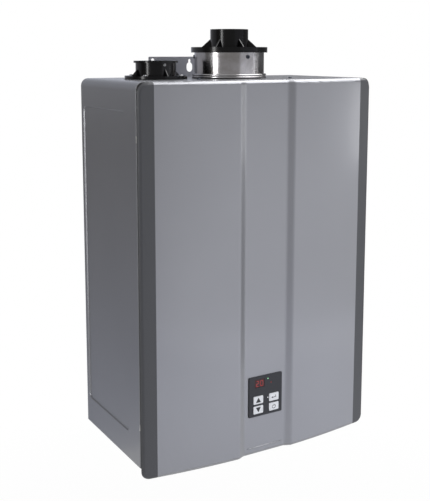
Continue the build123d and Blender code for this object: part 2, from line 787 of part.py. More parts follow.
def secondary_tubes():
    """The condensing heat exchanger's tube bank, end to end in the shell."""
    mid = (PRIMARY_TOP + SECONDARY_TOP) / 2
    end = STACK_SIDE - STACK_SHEET
    inner = SECONDARY_TUBE_R - SECONDARY_TUBE_WALL
    bank = []
    for row in range(SECONDARY_ROWS):
        for column in range(SECONDARY_COLUMNS):
            depth = STACK_DEPTH + (column - (SECONDARY_COLUMNS - 1) / 2) * SECONDARY_PITCH
            z = mid + (row - (SECONDARY_ROWS - 1) / 2) * SECONDARY_PITCH
            bank.append(bar(-end, end, depth, z, SECONDARY_TUBE_R) - bar(-end, end, depth, z, inner))
    return Compound(bank)


def tube_depths():
    """Depths of the main heat exchanger's tubes, back to front."""
    first = STACK_DEPTH - (TUBE_COUNT - 1) / 2 * TUBE_PITCH
    return [first + i * TUBE_PITCH for i in range(TUBE_COUNT)]


def primary_jacket():
    """The main heat exchanger's copper jacket, pierced for its tubes."""
    jacket = open_box(BURNER_TOP, PRIMARY_TOP)
    for depth in tube_depths():
        jacket -= bar(-STACK_SIDE, STACK_SIDE, depth, TUBE_Z, TUBE_R + TUBE_GAP)
    return jacket


def primary_fins():
    """Thin copper fins threaded on the tubes."""
    near = STACK_BACK + STACK_SHEET + FIN_GAP
    far = STACK_FRONT - STACK_SHEET - FIN_GAP
    fin = block(-FIN_T / 2, FIN_T / 2, near, far, TUBE_Z - FIN_H / 2, TUBE_Z + FIN_H / 2)
    for depth in tube_depths():
        fin -= bar(-FIN_T, FIN_T, depth, TUBE_Z, TUBE_R + TUBE_GAP)
    step = (STACK_W - 2 * STACK_SHEET) / (FIN_COUNT + 1)
    first = -(FIN_COUNT - 1) / 2 * step
    return Compound([Pos(first + i * step, 0, 0) * fin for i in range(FIN_COUNT)])


def primary_tubes():
    """One tube that runs back and forth through the jacket, from left rear to right front."""
    turn_x = STACK_SIDE + TUBE_OUT
    end_x = STACK_SIDE + TUBE_END
    inner = TUBE_R - TUBE_WALL
    depths = tube_depths()
    coil = None
    for i, depth in enumerate(depths):
        left = -end_x if i == 0 else -turn_x
        right = end_x if i == len(depths) - 1 else turn_x
        run = bar(left, right, depth, TUBE_Z, TUBE_R) - bar(left, right, depth, TUBE_Z, inner)
        coil = run if coil is None else coil + run
    for i in range(len(depths) - 1):
        hand = 1 if i % 2 == 0 else -1
        coil += return_bend(hand, turn_x, depths[i], inner)
    return coil


def return_bend(hand, turn_x, depth, inner):
    """A half-round bend between two neighbouring tubes."""
    origin = Plane(origin=(hand * turn_x, -depth, TUBE_Z), x_dir=(0, 1, 0), z_dir=(hand, 0, 0))
    section = origin * (Circle(TUBE_R) - Circle(inner))
    axis = Axis((hand * turn_x, -depth - TUBE_PITCH / 2, TUBE_Z), (0, 0, -hand))
    return revolve(section, axis, 180)


def nozzle_places():
    """Where the nozzles and burner bars stand across the burner box."""
    first = -(BAR_COUNT - 1) / 2 * BAR_PITCH
    return [first + i * BAR_PITCH for i in range(BAR_COUNT)]


def fan_duct():
    """The fan outlet's outer sides and depths: left, right, back and front."""
    return FAN_R - FAN_DUCT_W, FAN_R, fan_back(), fan_back() + FAN_D


def fan_back():
    """The depth of the fan housing's rear face."""
    return STACK_DEPTH - FAN_D / 2


def burner_box():
    """The burner box: an air opening in its floor and a nozzle hole for each bar."""
    box = open_box(BURNER_FLOOR, BURNER_TOP)
    side = STACK_SIDE
    box += block(-side, side, STACK_BACK, STACK_FRONT, BURNER_FLOOR, BURNER_FLOOR + STACK_SHEET)
    left, right, back, front = fan_duct()
    wall = FAN_WALL
    box -= block(left + wall, right - wall, back + wall, front - wall, BURNER_FLOOR,
                 BURNER_FLOOR + STACK_SHEET)
    for x in nozzle_places():
        box -= peg(x, nozzle_height(), STACK_FRONT - STACK_SHEET, STACK_FRONT, NOZZLE_R + NOZZLE_GAP)
    for x in electrode_places():
        hole = ELECTRODE_R + NOZZLE_GAP
        box -= peg(x, igniter_height(), STACK_FRONT - STACK_SHEET, STACK_FRONT, hole)
    return box


def nozzle_height():
    """The height of the nozzle row."""
    return BURNER_FLOOR + NOZZLE_UP


def igniter_height():
    """The height of the igniter's electrodes, above the burner bars."""
    return BURNER_TOP - IGNITER_DROP


def electrode_places():
    """Across the case: the spark electrode and the flame sensor."""
    return [IGNITER_X - IGNITER_SPAN / 2, IGNITER_X + IGNITER_SPAN / 2]


def burner_bars():
    """A row of burner bars, each with a slot of flame ports along its top."""
    low = BURNER_FLOOR + STACK_SHEET
    near = STACK_BACK + STACK_SHEET + FIN_GAP
    far = STACK_FRONT - STACK_SHEET - NOZZLE_IN - FIN_GAP
    bars = []
    for x in nozzle_places():
        piece = block(x - BAR_T / 2, x + BAR_T / 2, near, far, low, low + BAR_H)
        for hand in (-1, 1):
            port_x = x + hand * BAR_T / 4
            half = BAR_PORT / 2
            piece -= block(port_x - half, port_x + half, near + BAR_PORT_DEEP, far - BAR_PORT_DEEP,
                           low + BAR_H - BAR_PORT_DEEP, low + BAR_H)
        hollow = BAR_T / 2 - BAR_SHEET
        roof = low + BAR_H - BAR_PORT_DEEP
        piece -= block(x - hollow, x + hollow, near + BAR_SHEET, far, low + BAR_SHEET, roof)
        bars.append(piece)
    return Compound(bars)


def gas_manifold():
    """The gas rail: a square bar on two feet, with one nozzle for each burner bar."""
    reach = nozzle_places()[-1] + MANIFOLD_OVER
    half = MANIFOLD_SIZE / 2
    back = STACK_FRONT + MANIFOLD_OFF
    z = nozzle_height()
    rail = block(-reach, reach, back, back + MANIFOLD_SIZE, z - half, z + half)
    for hand in (-1, 1):
        inner = hand * (reach - MANIFOLD_FOOT)
        foot = sorted((inner, hand * reach))
        rail += block(foot[0], foot[1], STACK_FRONT, back, z - half, z + half)
    for x in nozzle_places():
        rail += peg(x, z, STACK_FRONT - STACK_SHEET - NOZZLE_IN, back, NOZZLE_R)
    return rail


def igniter_electrodes():
    """Spark electrode and flame sensor: ceramics on a plate, wires over the bars."""
    z = igniter_height()
    half_w = IGNITER_PLATE_W / 2
    half_h = IGNITER_PLATE_H / 2
    unit = block(IGNITER_X - half_w, IGNITER_X + half_w, STACK_FRONT, STACK_FRONT + STACK_SHEET,
                 z - half_h, z + half_h)
    for x in electrode_places():
        unit += peg(x, z, STACK_FRONT, STACK_FRONT + CERAMIC_L, CERAMIC_R)
        unit += peg(x, z, STACK_FRONT - ELECTRODE_L, STACK_FRONT, ELECTRODE_R)
    return unit


def fan_housing():
    """The fan's scroll with an upward outlet, an inlet behind and the motor in front."""
    left, right, back, front = fan_duct()
    wall = FAN_WALL
    outer = peg(0, FAN_Z, back, front, FAN_R)
    outer += block(left, right, back, front, FAN_Z, BURNER_FLOOR)
    rim = STACK_FLANGE
    outer += block(left - rim, right + rim, back - rim, front + rim, BURNER_FLOOR - wall, BURNER_FLOOR)
    inner = peg(0, FAN_Z, back + wall, front - wall, FAN_R - wall)
    inner += block(left + wall, right - wall, back + wall, front - wall, FAN_Z, BURNER_FLOOR)
    scroll = outer - inner
    scroll -= peg(0, FAN_Z, back, back + wall, FAN_INLET_R)
    return scroll - peg(0, FAN_Z, front - wall, front, SHAFT_R + SHAFT_PASS)


def fan_motor():
    """The fan motor: a ribbed can on the front of the scroll, bored for the shaft."""
    back = fan_back() + FAN_D
    can = peg(0, FAN_Z, back, back + MOTOR_L, MOTOR_R)
    for step in range(1, MOTOR_RIBS + 1):
        depth = back + MOTOR_L * step / (MOTOR_RIBS + 1)
        can += peg(0, FAN_Z, depth - MOTOR_RIB_T / 2, depth + MOTOR_RIB_T / 2, MOTOR_R + MOTOR_RIB_OUT)
    return can - peg(0, FAN_Z, back, back + SHAFT_IN + MOTOR_END_GAP, SHAFT_R + SHAFT_GAP)


def fan_impeller():
    """A drum wheel on its shaft: back disc, front ring and forward-leaning blades."""
    centre = fan_back() + FAN_D / 2
    back = centre - WHEEL_D / 2
    front = centre + WHEEL_D / 2
    wheel = peg(0, 0, front - WHEEL_WALL, front, WHEEL_R)
    rim = peg(0, 0, back, back + WHEEL_WALL, WHEEL_R)
    wheel += rim - peg(0, 0, back, back + WHEEL_WALL, WHEEL_R - BLADE_L)
    mid_r = WHEEL_R - BLADE_L / 2
    blade = Pos(mid_r, 0, 0) * Rot(0, BLADE_LEAN, 0) * block(
        -BLADE_L / 2, BLADE_L / 2, back, front, -BLADE_T / 2, BLADE_T / 2)
    for i in range(WHEEL_BLADES):
        wheel += Rot(0, 360 / WHEEL_BLADES * i, 0) * blade
    wheel += peg(0, 0, centre, front, SHAFT_HUB_R)
    end = fan_back() + FAN_D + SHAFT_IN
    wheel += peg(0, 0, centre, end, SHAFT_R)
    return Pos(0, 0, FAN_Z) * wheel


def stack_hangers():
    """Four channel brackets that carry the stack on the back plate."""
    heights = [(PRIMARY_TOP + SECONDARY_TOP) / 2, (BURNER_FLOOR + BURNER_TOP) / 2]
    half_w = HANGER_W / 2
    half_h = HANGER_H / 2
    web = HANGER_T / 2
    pieces = []
    for x in (-HANGER_X, HANGER_X):
        for z in heights:
            piece = block(x - web, x + web, BACK_FRONT, STACK_BACK, z - half_h, z + half_h)
            for near in (BACK_FRONT, STACK_BACK - HANGER_T):
                piece += block(x - half_w, x + half_w, near, near + HANGER_T, z - half_h, z + half_h)
            pieces.append(piece)
    return Compound(pieces)


def fitting(x):
    """A threaded pipe stub through the floor, held by its flange above and a nut below."""
    low = FLOOR - FITTING_DOWN
    seat = FLOOR + SHEET
    stub = post(x, FITTING_DEPTH, low, FLOOR + FITTING_UP, FITTING_R)
    stub += post(x, FITTING_DEPTH, seat, seat + FITTING_FLANGE_T, FITTING_FLANGE_R)
    nut = extrude(RegularPolygon(FITTING_NUT_R, 6), FITTING_NUT_T)
    stub += Pos(x, -FITTING_DEPTH, FLOOR - FITTING_NUT_T) * nut
    return stub - post(x, FITTING_DEPTH, low, FLOOR + FITTING_UP, FITTING_BORE_R)


def gas_valve_body():
    """The gas valve block on its inlet, with the solenoid coil on top."""
    low = FLOOR + FITTING_UP
    high = low + VALVE_H
    near = FITTING_DEPTH - VALVE_D / 2
    far = FITTING_DEPTH + VALVE_D / 2
    body = block(GAS_X - VALVE_W / 2, GAS_X + VALVE_W / 2, near, far, low, high)
    body = chamfer(body.edges().filter_by(Axis.Z), VALVE_CHAMFER)
    body += post(GAS_X, FITTING_DEPTH, high, high + COIL_H, COIL_R)
    roof = high + COIL_H - COIL_CAP
    body -= post(GAS_X, FITTING_DEPTH, plunger_low(), roof, PLUNGER_R + PLUNGER_GAP)
    return body - post(GAS_X, FITTING_DEPTH, low, plunger_low(), GAS_ORIFICE_R)


def plunger_low():
    """The height of the plunger's seat, with room above it to lift."""
    roof = FLOOR + FITTING_UP + VALVE_H + COIL_H - COIL_CAP
    return roof - PLUNGER_L - PLUNGER_TRAVEL - 2 * PLUNGER_GAP


def gas_plunger():
    """The solenoid's plunger, free to lift in the coil."""
    low = plunger_low() + PLUNGER_GAP
    return post(GAS_X, FITTING_DEPTH, low, low + PLUNGER_L, PLUNGER_R)


def gas_pipe():
    """The pipe from the gas valve's front to the manifold's underside."""
    start = FITTING_DEPTH + VALVE_D / 2
    depth = STACK_FRONT + MANIFOLD_OFF + MANIFOLD_SIZE / 2
    low = FLOOR + FITTING_UP + GAS_PORT_UP
    high = nozzle_height() - MANIFOLD_SIZE / 2
    route = [(GAS_X, start, low), (GAS_X, depth, low), (GAS_X, depth, high)]
    return tube(route, GAS_PIPE_BEND, GAS_PIPE_R, GAS_PIPE_R - GAS_PIPE_WALL)


def inlet_strainer():
    """A flanged gauze cup that drops into the cold inlet's bore."""
    seat = FLOOR + FITTING_UP
    low = seat - STRAINER_L
    wall = STRAINER_T
    cup = turned(COLD_X, FITTING_DEPTH, [
        (0, low), (STRAINER_R, low), (STRAINER_R, seat), (STRAINER_FLANGE_R, seat),
        (STRAINER_FLANGE_R, seat + wall), (STRAINER_R - wall, seat + wall),
        (STRAINER_R - wall, low + wall), (0, low + wall)])
    for row in range(STRAINER_RINGS):
        z = low + STRAINER_L * (row + 1) / (STRAINER_RINGS + 1)
        for i in range(STRAINER_HOLES):
            hole = bar(0, STRAINER_R + wall, 0, 0, STRAINER_HOLE_R)
            cup -= Pos(COLD_X, -FITTING_DEPTH, z) * Rot(0, 0, 360 / STRAINER_HOLES * i) * hole
    return cup


def sensor_low():
    """The height of the flow sensor's foot, on the strainer's flange."""
    return FLOOR + FITTING_UP + STRAINER_T


def flow_sensor_body():
    """The flow sensor's barrel, with a spider at each end and the turbine's spindle."""
    low = sensor_low()
    high = low + SENSOR_H
    body = ring(COLD_X, FITTING_DEPTH, low, high, SENSOR_R, SENSOR_BORE_R)
    half = SPIDER_W / 2
    inside = SENSOR_BORE_R + SPIDER_W
    mid = (low + high) / 2
    for side in (-1, 1):
        z = mid + side * (TURBINE_H / 2 + TURBINE_FLOAT + SPIDER_T / 2)
        z0, z1 = z - SPIDER_T / 2, z + SPIDER_T / 2
        body += block(COLD_X - inside, COLD_X + inside, FITTING_DEPTH - half, FITTING_DEPTH + half, z0, z1)
        body += block(COLD_X - half, COLD_X + half, FITTING_DEPTH - inside, FITTING_DEPTH + inside, z0, z1)
    reach = TURBINE_H / 2 + TURBINE_FLOAT + SPIDER_T
    return body + post(COLD_X, FITTING_DEPTH, mid - reach, mid + reach, SPINDLE_R)


def flow_turbine():
    """The flow sensor's rotor, free on its spindle."""
    mid = sensor_low() + SENSOR_H / 2
    half = TURBINE_H / 2
    rotor = post(0, 0, -half, half, TURBINE_HUB_R)
    height = TURBINE_H / cos(radians(TURBINE_LEAN))
    blade = Rot(TURBINE_LEAN, 0, 0) * block(SPINDLE_R, TURBINE_R, -TURBINE_BLADE_T / 2,
                                            TURBINE_BLADE_T / 2, -height / 2, height / 2)
    for i in range(TURBINE_BLADES):
        rotor += Rot(0, 0, 360 / TURBINE_BLADES * i) * blade
    rotor = rotor & post(0, 0, -half, half, TURBINE_R)
    rotor -= post(0, 0, -half, half, SPINDLE_R + SPINDLE_GAP)
    return Pos(COLD_X, -FITTING_DEPTH, mid) * rotor


def water_valve_low():
    """The height of the water valve's foot, on the flow sensor."""
    return sensor_low() + SENSOR_H


def water_valve_body():
    """The water valve block: an upright bore, a stem bore and a side outlet."""
    low = water_valve_low()
    half = WATER_VALVE_W / 2
    near, far = FITTING_DEPTH - half, FITTING_DEPTH + half
    body = block(COLD_X - half, COLD_X + half, near, far, low, low + WATER_VALVE_H)
    body = chamfer(body.edges().filter_by(Axis.Z), WATER_CHAMFER)
    mid = low + WATER_VALVE_H / 2
    top_wall = low + WATER_VALVE_H - WATER_ROOF
    body -= post(COLD_X, FITTING_DEPTH, low, top_wall, WATER_BORE_R)
    body -= bar(COLD_X, COLD_X + half, FITTING_DEPTH, cold_port(), WATER_PIPE_R - WATER_PIPE_WALL)
    return body - peg(COLD_X, mid, FITTING_DEPTH, far, STEM_R + STEM_GAP)


def cold_port():
    """The height of the water valve's side outlet, above its disc."""
    return water_valve_low() + WATER_VALVE_H - WATER_ROOF - WATER_PIPE_R


def water_valve_stem():
    """A butterfly disc on its stem, with a lever in front of the block."""
    mid = water_valve_low() + WATER_VALVE_H / 2
    face = FITTING_DEPTH + WATER_VALVE_W / 2 + STEM_COLLAR_GAP
    disc = Pos(COLD_X, -FITTING_DEPTH, mid) * Rot(0, 90, 0) * Cylinder(WATER_BORE_R - DISC_GAP, DISC_T)
    stem = peg(COLD_X, mid, FITTING_DEPTH, face + STEM_OUT, STEM_R)
    half = STEM_LEVER_W / 2
    lever = block(COLD_X - half, COLD_X + half, face, face + STEM_LEVER_T, mid - STEM_LEVER_L, mid + half)
    return disc + stem + lever


def cold_pipe():
    """From the water valve, up the right side, into the condensing heat exchanger."""
    z0 = cold_port()
    z1 = (PRIMARY_TOP + SECONDARY_TOP) / 2
    route = [(COLD_X + WATER_VALVE_W / 2, FITTING_DEPTH, z0), (COLD_RUN_X, FITTING_DEPTH, z0),
             (COLD_RUN_X, FITTING_DEPTH, z1), (STACK_SIDE + HEADER_T, FITTING_DEPTH, z1)]
    return tube(route, WATER_BEND, WATER_PIPE_R, WATER_PIPE_R - WATER_PIPE_WALL)


def transfer_pipe():
    """From the condensing heat exchanger's left header down to the main coil."""
    depth = tube_depths()[0]
    z0 = (PRIMARY_TOP + SECONDARY_TOP) / 2
    header = -STACK_SIDE - HEADER_T
    run_x = header - TRANSFER_RUN
    route = [(header, depth, z0), (run_x, depth, z0), (run_x, depth, TUBE_Z),
             (-STACK_SIDE - TUBE_END, depth, TUBE_Z)]
    return tube(route, WATER_BEND, WATER_PIPE_R, WATER_PIPE_R - WATER_PIPE_WALL)


def hot_pipe():
    """From the main coil's right front end down to the hot outlet."""
    depth = tube_depths()[-1]
    low = FLOOR + HOT_LOW_UP
    coil_end = STACK_SIDE + TUBE_END
    run_x = coil_end + HOT_RUN
    route = [(coil_end, depth, TUBE_Z), (run_x, depth, TUBE_Z), (run_x, depth, low),
             (HOT_X, FITTING_DEPTH, low), (HOT_X, FITTING_DEPTH, FLOOR + FITTING_UP)]
    return tube(route, WATER_BEND, WATER_PIPE_R, WATER_PIPE_R - WATER_PIPE_WALL)


def condensate_trap():
    """The trap: a closed tank on the floor, with a nozzle above and a spigot below."""
    low = FLOOR + SHEET
    high = low + TRAP_H
    half_w = TRAP_W / 2
    half_d = TRAP_D / 2
    wall = TRAP_WALL
    tank = block(TRAP_X - half_w, TRAP_X + half_w, TRAP_DEPTH - half_d, TRAP_DEPTH + half_d, low, high)
    tank = fillet(tank.edges().filter_by(Axis.Z), TRAP_ROUND)
    tank += post(TRAP_X, TRAP_DEPTH, FLOOR - TRAP_COLLAR_DOWN, low, TRAP_COLLAR_R)
    tank += post(TRAP_X, TRAP_DEPTH, FLOOR - TRAP_SPIGOT_DOWN, low, TRAP_SPIGOT_R)
    tank += post(TRAP_X, TRAP_DEPTH, high, high + TRAP_NOZZLE_H, HOSE_R)
    tank -= block(TRAP_X - half_w + wall, TRAP_X + half_w - wall, TRAP_DEPTH - half_d + wall,
                  TRAP_DEPTH + half_d - wall, low + wall, high - wall)
    tank -= post(TRAP_X, TRAP_DEPTH, FLOOR - TRAP_SPIGOT_DOWN, low + wall, TRAP_SPIGOT_BORE_R)
    return tank - post(TRAP_X, TRAP_DEPTH, high - wall, high + TRAP_NOZZLE_H, HOSE_BORE_R)


def condensate_hose():
    """The hose from the heat exchanger's drain down to the trap."""
    start = FLOOR + SHEET + TRAP_H + TRAP_NOZZLE_H
    drain_z = PRIMARY_TOP + DRAIN_UP
    drain_x = -STACK_SIDE - HEADER_T
    route = [(TRAP_X, TRAP_DEPTH, start), (TRAP_X, DRAIN_DEPTH, drain_z), (drain_x, DRAIN_DEPTH, drain_z)]
    bend = min(HOSE_BEND, drain_x - TRAP_X - HOSE_END)
    return tube(route, bend, HOSE_R, HOSE_BORE_R)


def board_case_box(inset):
    """The control board case's outline, drawn in by inset."""
    left = -WALL_FACE
    high = TOP - BOARD_CASE_DROP
    return block(left + inset, left + BOARD_CASE_W - inset, BOARD_CASE_BACK + inset,
                 BOARD_CASE_BACK + BOARD_CASE_D, high - BOARD_CASE_H + inset, high - inset)


def main_post_places():
    """The main board's four posts, in x and z."""
    edge = BOARD_CASE_WALL + MAIN_POST_R + MAIN_EDGE
    left = -WALL_FACE + edge
    right = -WALL_FACE + BOARD_CASE_W - edge
    high = TOP - BOARD_CASE_DROP - edge
    low = TOP - BOARD_CASE_DROP - BOARD_CASE_H + edge
    return [(x, z) for x in (left, right) for z in (low, high)]


def control_board_case():
    """A plastic tray on the left wall, open to the front, with posts for the board."""
    tray = board_case_box(0) - board_case_box(BOARD_CASE_WALL)
    floor = BOARD_CASE_BACK + BOARD_CASE_WALL
    for x, z in main_post_places():
        tray += peg(x, z, floor, floor + MAIN_POST, MAIN_POST_R)
    return tray


def main_circuit_board():
    """The main board with its transformer, relays, capacitors and connectors."""
    back = BOARD_CASE_BACK + BOARD_CASE_WALL + MAIN_POST
    face = back + BOARD_T
    edge = BOARD_CASE_WALL + MAIN_EDGE / 2
    left = -WALL_FACE + edge
    right = -WALL_FACE + BOARD_CASE_W - edge
    high = TOP - BOARD_CASE_DROP - edge
    low = high - BOARD_CASE_H + 2 * edge
    board = block(left, right, back, face, low, high)
    width = right - left
    tall = high - low
    for across, up, wide, deep, height in BOARD_PARTS:
        x = left + across * width
        z = low + up * tall
        board += block(x - wide / 2, x + wide / 2, face, face + deep, z - height / 2, z + height / 2)
    for across, up in BOARD_CAPACITORS:
        board += peg(left + across * width, low + up * tall, face, face + CAPACITOR_L, CAPACITOR_R)
    return board


def spark_module():
    """The ignition transformer on the right wall."""
    high = TOP - SPARK_DROP
    body = block(WALL_FACE - SPARK_W, WALL_FACE, SPARK_BACK, SPARK_BACK + SPARK_D, high - SPARK_H, high)
    return fillet(body.faces().sort_by(Axis.X)[0].edges(), SPARK_R)


def cable_gland():
    """The power cable's gland: a dome below the floor and a nut above it."""
    top = FLOOR + SHEET
    return turned(GLAND_X, FITTING_DEPTH, [
        (GLAND_BORE_R, top + GLAND_NUT_H), (GLAND_NUT_R, top + GLAND_NUT_H), (GLAND_NUT_R, top),
        (GLAND_R, top), (GLAND_R, FLOOR), (GLAND_HEAD_R, FLOOR), (GLAND_HEAD_R, FLOOR - GLAND_HEAD_H),
        (GLAND_R, FLOOR - GLAND_HEAD_H - GLAND_DOME_H),
        (GLAND_BORE_R, FLOOR - GLAND_HEAD_H - GLAND_DOME_H)])


def cover_outline(inset):
    """The cover in front view, with round corners, drawn in by inset."""
    height = COVER_H - 2 * inset
    face = Rectangle(CASE_W - 2 * inset, height)
    corners = face.vertices().sort_by(Axis.Y)
    face = fillet(corners[-2:], max(COVER_TOP_R - inset, SHEET))
    corners = face.vertices().sort_by(Axis.Y)
    face = fillet(corners[:2], max(COVER_LOW_R - inset, SHEET))
    return Pos(0, (TOP + COVER_BOTTOM) / 2) * face


def band_cut(inset):
    """What the sunk centre band takes from the bow: a wedge that rounds over at both ends."""
    bow_at_edge = COVER_D - BAND_EDGE ** 2 / (2 * BOW_R)
    run = BAND_EDGE - BAND_FLAT
    rise = bow_at_edge - BAND
    flat = BAND_FLAT + inset * (hypot(run, rise) - run) / rise
    depth = BAND - inset
    end_r = COVER_EDGE_R - inset
    tall = COVER_H - 2 * inset
    middle = (TOP + COVER_BOTTOM) / 2
    floor = Pos(2 * end_r - depth, middle) * RectangleRounded(4 * end_r, tall, end_r)
    section = Pos((end_r - BAND_CUT) / 2 - depth, middle) * Rectangle(BAND_CUT + end_r, tall) - floor
    cut = extrude(Plane.YZ.offset(-flat) * section, 2 * flat)
    reach = hypot(run, rise) + BAND_CUT
    for hand in (-1, 1):
        side = Plane.YZ.offset(hand * flat) * section
        cut += extrude(side, reach, dir=(hand * run, -rise, 0))
    return cut


def cover_form(inset):
    """The cover's solid form, drawn in by inset: a bowed block with the band sunk in."""
    form = plate(COVER_BACK, COVER_D + BAND_SUNK, cover_outline(inset))
    bow = Pos(0, BOW_R - COVER_D, (TOP + COVER_BOTTOM) / 2) * Cylinder(BOW_R - inset, COVER_H)
    form = form & bow
    rim = [e for e in form.edges() if e.bounding_box().max.Y < -COVER_BACK - SHEET]
    return fillet(rim, COVER_EDGE_R - inset) - band_cut(inset)


def cover_parts():
    """The steel cover and its two corner trims, parted from one bowed shell."""
    outer = cover_form(0)
    middle = cover_form(SKIN)
    inner = cover_form(SKIN + PAN)
    shell = outer - middle
    pan = middle - inner
    trim_x = SIDE - TRIM_W
    left = shell & block(-REACH, -trim_x, 0, REACH, -REACH, REACH)
    right = shell & block(trim_x, REACH, 0, REACH, -REACH, REACH)
    cover = shell & block(-trim_x, trim_x, 0, REACH, -REACH, REACH)
    lap = trim_x - TRIM_LAP
    cover += pan & block(-REACH, -lap, 0, REACH, -REACH, REACH)
    cover += pan & block(lap, REACH, 0, REACH, -REACH, REACH)
    cover += cover_flange(middle)
    return cover + cover_tabs() - panel_opening() - band_crease(), left, right


def cover_flange(form):
    """The cover's return flange across the back of its form, which carries the gasket."""
    side = SIDE - COVER_FLANGE
    low = FLOOR + COVER_FLANGE
    high = TOP - COVER_FLANGE
    flange = form & block(-SIDE, SIDE, COVER_BACK, COVER_BACK + PAN, COVER_BOTTOM, TOP)
    flange -= block(-side, side, COVER_BACK, COVER_BACK + PAN, low, high)
    for x in (-PIN_X, PIN_X):
        flange -= peg(x, pin_height(), COVER_BACK, COVER_BACK + PAN, PIN_R + PIN_GAP)
    return flange


def cover_tabs():
    """Two tabs below the floor that take the cover screws."""
    high = FLOOR - TAB_GAP
    tabs = None
    for x in (-TAB_X, TAB_X):
        half = TAB_W / 2
        tab = block(x - half, x + half, COVER_BACK - TAB_REACH, COVER_BACK + PAN, high - TAB_T, high)
        tab -= post(x, CASE_FRONT - SCREW_BACK, high - TAB_T, high, SCREW_R + SCREW_GAP)
        tabs = tab if tabs is None else tabs + tab
    return tabs


def panel_opening():
    """The hole in the band for the control housing."""
    wide = PANEL_W - 2 * PANEL_LIP
    tall = PANEL_H - 2 * PANEL_LIP
    return plate(BAND - SKIN - PAN, BAND + SKIN, rounded_face(0, panel_z(), wide, tall, PANEL_R))


def panel_z():
    """The height of the control panel's centre."""
    return COVER_BOTTOM + PANEL_UP


def band_crease():
    """A fine pressed line across the foot of the band."""
    z = COVER_BOTTOM + BAND_CREASE_UP
    half = BAND_CREASE_H / 2
    return block(-BAND_CREASE_W / 2, BAND_CREASE_W / 2, BAND - BAND_CREASE_DEEP, BAND + SKIN,
                 z - half, z + half)


def cover_gasket():
    """The foam strip on the cover's flange, just clear of the case."""
    wide = CASE_W - 2 * (GASKET_INSET + GASKET_W)
    low = FLOOR + GASKET_INSET
    outer = case_face(GASKET_INSET)
    outer -= Pos(0, FLOOR) * Rectangle(CASE_W, GASKET_INSET, align=(Align.CENTER, Align.MIN))
    high = TOP - GASKET_INSET - GASKET_W
    foot = low + GASKET_W
    outer -= Pos(0, (foot + high) / 2) * Rectangle(wide, high - foot)
    strip = plate(CASE_FRONT + GASKET_GAP, COVER_BACK, outer)
    for x in (-PIN_X, PIN_X):
        strip -= peg(x, pin_height(), CASE_FRONT, COVER_BACK, PIN_R + PIN_GAP)
    return strip


def cover_screws():
    """Two screws that rise through the cover's tabs into the floor's open slots."""
    seat = FLOOR - TAB_GAP - TAB_T
    screws = []
    for x in (-TAB_X, TAB_X):
        screws.append(turned(x, CASE_FRONT - SCREW_BACK, [
            (0, seat - SCREW_HEAD_H), (SCREW_HEAD_R, seat - SCREW_HEAD_H), (SCREW_HEAD_R, seat),
            (SCREW_R, seat), (SCREW_R, FLOOR + SCREW_UP), (0, FLOOR + SCREW_UP)]))
    return Compound(screws)


def button_places():
    """Each button's name and its place on the panel."""
    upper = panel_z() + BUTTON_UPPER
    lower = panel_z() + BUTTON_LOWER
    return {"up_button": (BUTTON_LEFT, upper), "down_button": (BUTTON_LEFT, lower),
            "enter_button": (BUTTON_RIGHT, upper), "power_button": (BUTTON_RIGHT, lower)}


def control_faceplate():
    """The dark faceplate, with openings for the buttons, the display and the lamps."""
    face = rounded_face(0, panel_z(), PANEL_W, PANEL_H, PANEL_R)
    for x, z in button_places().values():
        face -= rounded_face(x, z, BUTTON_W + 2 * BUTTON_GAP, BUTTON_H + 2 * BUTTON_GAP,
                             BUTTON_R + BUTTON_GAP)
    window = 2 * BUTTON_GAP
    face -= Pos(DISPLAY_X, panel_z() + DISPLAY_RISE) * Rectangle(DISPLAY_W + window, DISPLAY_H + window)
    for x, rise in LAMP_PLACES:
        face -= Pos(x, panel_z() + rise) * Circle(LAMP_R + LAMP_GAP)
    return plate(BAND, BAND + PANEL_T, face)


def housing_face(inset):
    """The control housing in front view, drawn in by inset."""
    wide = PANEL_W - 2 * (PANEL_LIP + HOUSING_GAP + inset)
    tall = PANEL_H - 2 * (PANEL_LIP + HOUSING_GAP + inset)
    return rounded_face(0, panel_z(), wide, tall, PANEL_R - inset / 2)


def board_post_places():
    """The control board's four posts, in x and z."""
    edge = PANEL_LIP + HOUSING_GAP + HOUSING_WALL + BOARD_POST_R
    half_w = PANEL_W / 2 - edge
    half_h = PANEL_H / 2 - edge
    return [(x, panel_z() + z) for x in (-half_w, half_w) for z in (-half_h, half_h)]


def control_housing():
    """The plastic box behind the faceplate, with posts for its board."""
    back = BAND - HOUSING_DEEP
    box = plate(back, BAND, housing_face(0)) - plate(back + HOUSING_WALL, BAND, housing_face(HOUSING_WALL))
    for x, z in board_post_places():
        box += peg(x, z, back + HOUSING_WALL, back + HOUSING_WALL + BOARD_POST, BOARD_POST_R)
    return box


def board_front():
    """The depth of the control board's front face."""
    return BAND - HOUSING_DEEP + HOUSING_WALL + BOARD_POST + BOARD_T


def control_board():
    """The control board with its four push switches and three lamps."""
    front = board_front()
    board = plate(front - BOARD_T, front, housing_face(HOUSING_WALL + HOUSING_GAP))
    half = SWITCH_W / 2
    for x, z in button_places().values():
        board += block(x - half, x + half, front, front + SWITCH_H, z - half, z + half)
    for x, rise in LAMP_PLACES:
        board += peg(x, panel_z() + rise, front, BAND + PANEL_T, LAMP_R)
    return board


def display_module():
    """The two-digit display block, standing on the board in the faceplate's window."""
    z = panel_z() + DISPLAY_RISE
    half_w = DISPLAY_W / 2
    half_h = DISPLAY_H / 2
    return block(DISPLAY_X - half_w, DISPLAY_X + half_w, board_front(),
                 BAND + PANEL_T - DISPLAY_SUNK, z - half_h, z + half_h)


